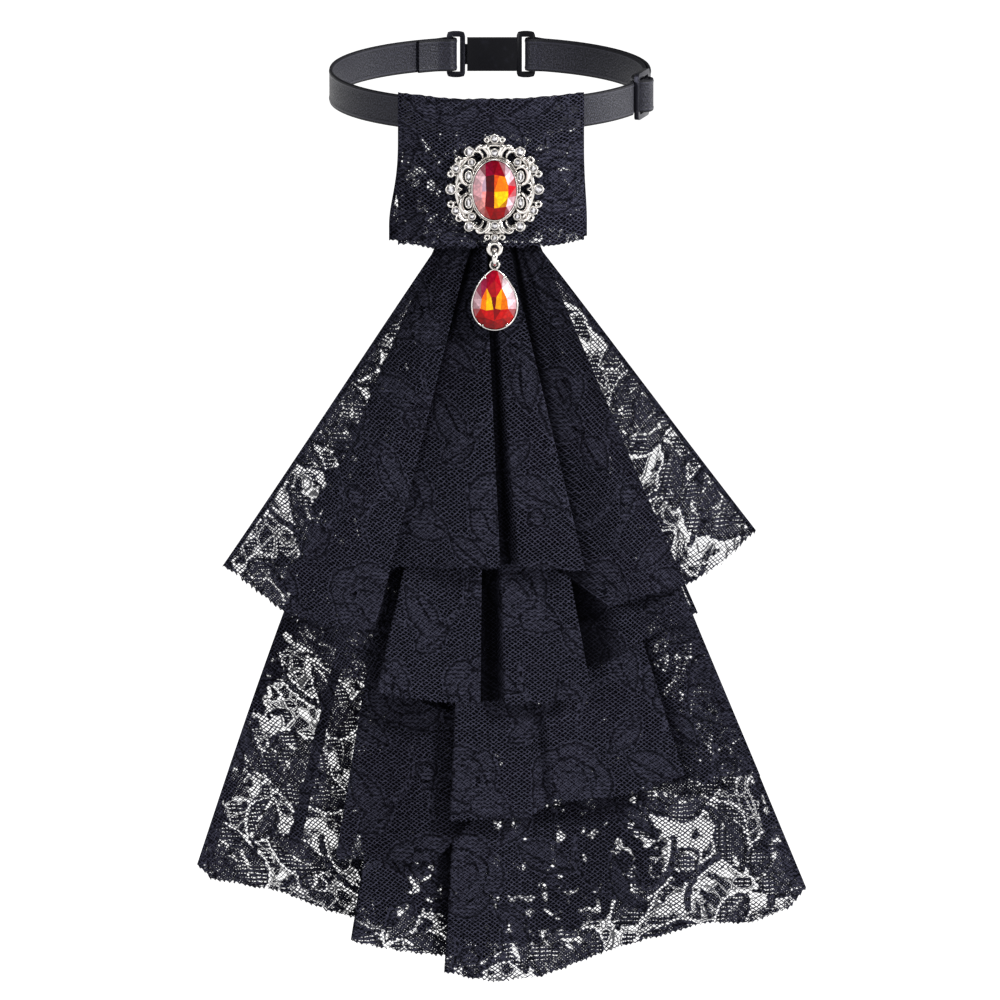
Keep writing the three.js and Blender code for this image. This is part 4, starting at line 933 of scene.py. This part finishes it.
def broochMesh():
    parts = {"points": [], "faces": []}
    b = brooch
    rim(parts, *b["stone"], b["bezel"], sides=56)
    tube(parts, oval(7.55, 10.05, forward=0.75, count=56), 0.42, closed=True)
    tube(parts, oval(*b["ring"], forward=0.65, count=64), b["ringWire"], closed=True, flat=1.1)
    # milled beads stand on the outer ring and round the bezel
    for halfWidth, halfHeight, forward, size in ((*b["ring"], 1.05, b["stud"]), (7.6, 10.1, 1.05, 0.3)):
        count = int(2 * math.pi * (halfWidth + halfHeight) / 2 / b["studStep"])
        for x, y, _ in oval(halfWidth, halfHeight, count=count):
            bead(parts, x, y, forward, size)
    for row in bothSides(b["cups"]):
        x, y, radius, tall = row["x"] * row["side"], row["y"], row["radius"], row["radius"] * row["tall"]
        rim(parts, radius, tall, [(out, forward + row["lift"]) for out, forward in b["cup"]], x, y)
        for turn in (45, 135, 225, 315):
            cx, cy = (radius - 0.2) * math.cos(math.radians(turn)), (tall - 0.2) * math.sin(math.radians(turn))
            bead(parts, x + cx, y + cy, 1.9 + row["lift"], b["claw"])
    for row in bothSides(b["openRings"]):
        reach = row["radius"] - b["openWire"]
        path = oval(reach, reach, row["x"] * row["side"], row["y"], 1.1, count=18)
        tube(parts, path, b["openWire"], closed=True, flat=1.3)
    for row in bothSides(b["leaves"]):
        path = oval(row["width"], row["height"], row["x"], row["y"], 1.25, row["turn"], row["start"], row["end"], 16)
        path[:, 0] *= row["side"]
        swell = np.sin(np.linspace(0.12, math.pi - 0.12, len(path)))
        path[:, 2] += 0.35 * swell
        tube(parts, path, row["thick"] * (0.3 + 0.7 * swell), flat=1.5)
    # short bars solder the outer cups and open rings to the ring
    for row in bothSides(b["cups"] + b["openRings"]):
        x, y = row["x"] * row["side"], row["y"]
        away = math.hypot(x / b["ring"][0], y / b["ring"][1])
        if away > 1.02:
            tube(parts, [(x / away, y / away, 0.6), (x, y, 0.6)], 0.45)
    eyelet = b["eyelet"]
    path = oval(eyelet["radius"], eyelet["radius"], 0, eyelet["y"], eyelet["forward"], count=28)
    tube(parts, path, eyelet["wire"], closed=True, sides=10, flat=eyelet["flat"])
    tube(parts, [(0, -14.2, 0.8), (0, -15.4, 2.1), (0, -16.2, 3.2)], 0.55)
    pin = b["pin"]
    tube(parts, [(-pin["half"] - 0.3, pin["y"], pin["back"]), (pin["half"] + 0.3, pin["y"], pin["back"])],
         pin["wire"])
    for x in (-pin["half"], pin["half"]):
        tube(parts, [(x, pin["y"], pin["back"]), (x, pin["y"], 0.4)], pin["wire"])
    # the posts are soldered to a bar behind the stone
    tube(parts, [(-8, pin["y"], 0.35), (8, pin["y"], 0.35)], 0.5, flat=0.6)
    return finishParts("brooch_frame_cast", parts, b["centre"])


piece = addObject("brooch_frame_cast", broochMesh(), silver)
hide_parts("brooch_frame")
print("brooch frame", len(piece.data.polygons), "faces")

# A cut stone: patches of the flat top, three crown facets to each top edge, girdle and pavilion
def cutStone(parts, stone, corners, outline, forwards, centre=(0.0, 0.0)):
    top, girdle, waist, foot = forwards
    names = list(corners)
    count = len(stone["crown"])
    start = len(parts["points"])
    x, y = centre
    parts["points"] += [[corners[key][0], corners[key][1], top] for key in names]
    edge = [start + names.index(key) for key in names[:count]]
    ring = start + len(names)
    parts["points"] += [[px, py, girdle] for px, py in outline] + [[px, py, waist] for px, py in outline]
    parts["points"] += [[x + (px - x) * 0.4, y + (py - y) * 0.4, foot] for px, py in outline]
    for patch, colour in stone["top"]:
        parts["faces"].append([start + names.index(key) for key in patch])
        parts["colours"].append(linear(colour))
    sides = 2 * count
    for k, colour in enumerate(stone["crown"]):
        after = (k + 1) % count
        low = [ring + (2 * k + i) % sides for i in range(3)]
        own = linear(colour)
        beside = linear(stone["crown"][after])
        before = linear(stone["crown"][k - 1])
        # painted shade: the two side facets of each top edge are drawn darker, tinged with the next facets' colours
        for face, mix, share, light in (
                ([edge[k], low[0], low[1]], before, 0.2, 0.8), ([edge[k], low[1], edge[after]], own, 0, 1.0),
                ([edge[after], low[1], low[2]], beside, 0.2, 0.65)):
            parts["faces"].append(face)
            parts["colours"].append([blend(a, b, share) * light for a, b in zip(own, mix)])
    deep = linear(stone["deep"])
    for step in range(2):
        for c in range(sides):
            low, high = ring + (step + 1) * sides, ring + step * sides
            parts["faces"].append([high + c, low + c, low + (c + 1) % sides, high + (c + 1) % sides])
            parts["colours"].append(deep)
    parts["faces"].append([ring + 2 * sides + c for c in reversed(range(sides))])
    parts["colours"].append(deep)


# The stones' flat tops, between named corners: the glass's reds, with the orange, yellow and pale patches of light in
# it painted on
centreStone = {
    "girdle": (6.5, 9.0), "forwards": (5.3, 3.35, 3.0, 0.75), "deep": "#5a0410",
    "corners": {
        "a": (4.05, 1.9), "b": (3.2, 4.5), "c": (-0.1, 5.1), "d": (-2.7, 4.6), "e": (-3.7, 2.2),
        "f": (-3.7, -2.2), "g": (-2.9, -4.5), "h": (-0.1, -5.1), "i": (3.5, -4.6), "j": (4.05, -1.9),
        "m": (-0.1, -0.1), "n": (4.05, 0.1), "o": (1.4, 4.82), "p": (1.3, -4.92), "q": (-2.55, 0.0), "r": (-3.7, 0.0),
    },
    "top": [
        ["cmo", "#d04400"], ["mno", "#ee7400"], ["nabo", "#e88000"], ["mpjn", "#e8c400"], ["pij", "#b87000"],
        ["mhp", "#f09c00"], ["cdqm", "#420008"], ["mqgh", "#580008"], ["derq", "#b394a6"], ["qrfg", "#ec8c88"],
    ],
    # crown facets by top edge, from the right round over the top; the pale ones are painted reflections
    "crown": ["#f0d2de", "#80061a", "#7c0828", "#f4c6ce", "#f0b0b8", "#ee9c98", "#980006", "#900006", "#eec4d0",
              "#c4061c"],
}
dropStone = {
    "width": 13.8, "height": 18.8, "tip": -1.1, "inset": 0.4, "forwards": (2.6, 0.6, 0.25, -0.6), "deep": "#6a0612",
    "corners": {
        "a": (0.0, -4.4), "b": (-2.4, -6.7), "c": (-3.9, -9.9), "d": (-4.3, -12.9), "e": (-2.7, -15.8),
        "f": (-0.1, -16.7), "g": (2.4, -15.8), "h": (4.1, -13.0), "i": (3.7, -9.9), "j": (2.2, -6.7),
        "k": (-1.1, -9.4), "l": (-0.4, -13.2), "m": (-2.6, -13.5), "n": (0.6, -9.4), "o": (0.2, -12.9),
        "p": (1.9, -13.3), "q": (-2.4, -10.3), "r": (2.1, -10.0),
    },
    "top": [
        ["bqk", "#e8a800"], ["bcq", "#e46000"], ["cdmq", "#e87400"], ["qmlk", "#ecb800"], ["jnr", "#f0a800"],
        ["nopr", "#ee9400"], ["rphi", "#e06800"], ["jri", "#ee7400"], ["abkn", "#9a0410"], ["anj", "#b80818"],
        ["klon", "#680008"], ["deflm", "#b00608"], ["lfpo", "#7c0008"], ["pfgh", "#b80a0a"],
    ],
    # crown facets: the glass's reds, the pale ones painted reflections
    "crown": ["#a00a28", "#a82c50", "#ecc0ca", "#ae0c10", "#8c0008", "#980408", "#b0100c", "#f0c6d0", "#f8e6ec",
              "#a40a1c"],
}
# Clear crystals: their white and grey facets are painted reflections and sparkle
crystal = {
    "table": 0.5, "forwards": (2.35, 1.6, 1.4, 0.7), "deep": "#77747a", "top": [["abcdefgh", "#d9d7dc"]],
    "crown": ["#ffffff", "#6b686d", "#dedce0", "#a5a2a8", "#ffffff", "#8b888d", "#57555a", "#eceaee"],
}


def pearLine(angles, inset=0.0):
    s = dropStone
    widest = 0.862      # half width of the bare pear curve
    x = -s["width"] / 2 / widest * np.sin(angles) * np.sqrt(np.abs(np.sin(angles / 2)))
    y = s["height"] / 2 * (np.cos(angles) - 1) + s["tip"]
    middle = s["tip"] - 0.56 * s["height"]
    return np.stack([x * (1 - 2 * inset / s["width"]), middle + (y - middle) * (1 - 2 * inset / s["height"])], axis=1)


def stoneParts():
    return {"points": [], "faces": [], "colours": []}


parts = stoneParts()
outline = oval(*centreStone["girdle"], start=25.2, end=385.2, count=20)[:, :2]
cutStone(parts, centreStone, centreStone["corners"], outline, centreStone["forwards"])
piece = addObject("centre_stone_cut", finishParts("centre_stone_cut", parts, brooch["centre"], False), foiledGlass)
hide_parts("centre_stone")

parts = stoneParts()
for i, row in enumerate(bothSides(brooch["cups"])):
    x, y, reach, tall = row["x"] * row["side"], row["y"], row["radius"] - 0.55, row["radius"] * row["tall"] - 0.55
    turn = 22.5 * (i % 2)
    flat = oval(reach * crystal["table"], tall * crystal["table"], x, y, start=turn, end=turn + 360, count=8)
    corners = {key: point[:2] for key, point in zip("abcdefgh", flat)}
    girdle = oval(reach, tall, x, y, start=turn, end=turn + 360, count=16)[:, :2]
    crown = crystal["crown"][i % 8:] + crystal["crown"][:i % 8]
    forwards = [forward + row["lift"] for forward in crystal["forwards"]]
    cutStone(parts, {**crystal, "crown": crown}, corners, girdle, forwards, (x, y))
piece = addObject("brooch_crystals", finishParts("brooch_crystals", parts, brooch["centre"], False), clearGlass)
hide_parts(*[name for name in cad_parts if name.startswith("crystal_")])

parts = stoneParts()
turns = np.radians(np.arange(20) * 18.0)
cutStone(parts, dropStone, dropStone["corners"], pearLine(turns, dropStone["inset"]), dropStone["forwards"],
         (0, -11.5))
drop = {
    "centre": (1.4, -66.8, -42.33), "rim": 0.27, "loop": (1.3, 0.4), "claw": 0.32,
    "clawAngles": (40, 320, 150, 210),
}
piece = addObject("drop_stone_cut", finishParts("drop_stone_cut", parts, drop["centre"], False), foiledGlass, "drop")
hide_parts("drop_stone")
print("centre stone, crystals and drop stone cut")


def dropSettingMesh():
    parts = {"points": [], "faces": []}
    turns = np.radians(np.linspace(0, 360, 56, endpoint=False))
    line = pearLine(turns, 0.1)
    # the gallery: a wall that leans in to a closed back, with a round rim on it
    rings = [np.column_stack([pearLine(turns, inset), np.full(56, forward)])
             for inset, forward in ((4.5, -1.3), (1.2, -1.3), (0.4, -0.9), (0.0, 0.0), (0.0, 0.5), (0.3, 0.5),
                                    (0.38, 0.2), (0.4, -0.5))]
    addGrid(parts, np.array(rings), False)
    tube(parts, np.column_stack([line, np.full(56, 0.5)]), drop["rim"], closed=True, sides=10)
    radius, wire = drop["loop"]
    tube(parts, oval(radius, radius, count=24), wire, closed=True)
    tube(parts, [(0, -1.3, 0), (0, -2.0, 0.2)], 0.5)
    for angle in drop["clawAngles"]:
        outer, inner = pearLine(np.radians([angle]), 0.1)[0], pearLine(np.radians([angle]), 0.9)[0]
        tube(parts, [(*outer, 0.3), (*(0.6 * outer + 0.4 * inner), 1.0), (*inner, 1.15)],
             [drop["claw"], drop["claw"], 0.25])
    return finishParts("drop_setting_cast", parts, drop["centre"], lift=0.9)


piece = addObject("drop_setting_cast", dropSettingMesh(), silver, "drop")
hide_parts("drop_setting")

# Jump ring, upright through the eyelet
link = {"centre": (1.4, -66.8, -39.93), "radius": 2.4, "wire": 0.6, "broad": 1.33}
parts = {"points": [], "faces": []}
tube(parts, oval(link["radius"], link["radius"], count=36), link["wire"], closed=True, sides=10, flat=link["broad"])
parts["points"] = [[forward, up, across] for across, up, forward in parts["points"]]
piece = addObject("jump_ring_wire", finishParts("jump_ring_wire", parts, link["centre"]), silver, "link")
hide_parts("jump_ring")
print("drop setting and jump ring made")


# Photographer's set: pale floor and soft light, white behind the object

def studio():
    world = bpy.data.worlds.new("studio_air")
    bpy.context.scene.world = world
    world.use_nodes = True
    tree = world.node_tree
    tree.nodes.clear()
    output = tree.nodes.new("ShaderNodeOutputWorld")
    tree.links.new(addNode(tree, "Background", {"Color": linear("#d8d8d8"), "Strength": 0.22}), output.inputs[0])
    floorMesh = bpy.data.meshes.new("floor")
    size, drop = 30.0, -0.75
    floorMesh.from_pydata([(-size, -size, drop), (size, -size, drop), (size, size, drop), (-size, size, drop)], [],
                          [(0, 1, 2, 3)])
    material, tree, surface = newMaterial("studio_paper")
    surface.inputs["Base Color"].default_value = linear("#f4f4f4")
    surface.inputs["Roughness"].default_value = 0.9
    surface.inputs["Emission Color"].default_value = linear("#ffffff")
    # the sweep is lit from about two metres out, so that it reads white behind the object
    away = addNode(tree, "VectorMath", (addNode(tree, "TexCoord", out="Object"),), "LENGTH", "Value")
    lit = addNode(tree, "MapRange", (away, 0.9, 2.3, 0.0, 0.95), **eased)
    tree.links.new(lit, surface.inputs["Emission Strength"])
    floorMesh.materials.append(material)
    floor = bpy.data.objects.new("studio_floor", floorMesh)
    bpy.context.scene.collection.objects.link(floor)
    lamps = rows(["name", "place", "size", "power"], [
        ["key_softbox", (1.2, -1.1, 0.9), 0.22, 38.0],
        ["fill_softbox", (-1.0, -1.6, 0.5), 0.6, 9.0],
        ["top_softbox", (0.0, -0.2, 1.3), 0.6, 6.0],
        ["side_softbox", (1.2, 0.2, -0.02), 0.5, 7.0],
    ])
    for lamp in lamps:
        data = bpy.data.lights.new(lamp["name"], "AREA")
        data.size = lamp["size"]
        data.energy = lamp["power"]
        light = bpy.data.objects.new(lamp["name"], data)
        light.location = lamp["place"]
        light.rotation_euler = (Vector((0, -0.05, -0.12)) - Vector(lamp["place"])).to_track_quat("-Z", "Y").to_euler()
        light.visible_camera = False
        bpy.context.scene.collection.objects.link(light)


def camera():
    view = {"aim": (0.003, -0.060, -0.1156), "elevation": 11.5, "distance": 8.3333, "lens": 1000.0}
    data = bpy.data.cameras.new("camera")
    data.lens = view["lens"]
    data.sensor_width = 36
    angle = math.radians(view["elevation"])
    back = Vector((0, -math.cos(angle), math.sin(angle)))
    eye = bpy.data.objects.new("camera", data)
    eye.location = Vector(view["aim"]) + back * view["distance"]
    eye.rotation_euler = (-back).to_track_quat("-Z", "Y").to_euler()
    bpy.context.scene.collection.objects.link(eye)
    bpy.context.scene.camera = eye
    bpy.context.scene.view_settings.view_transform = "Standard"


studio()
camera()
print("studio and camera set")
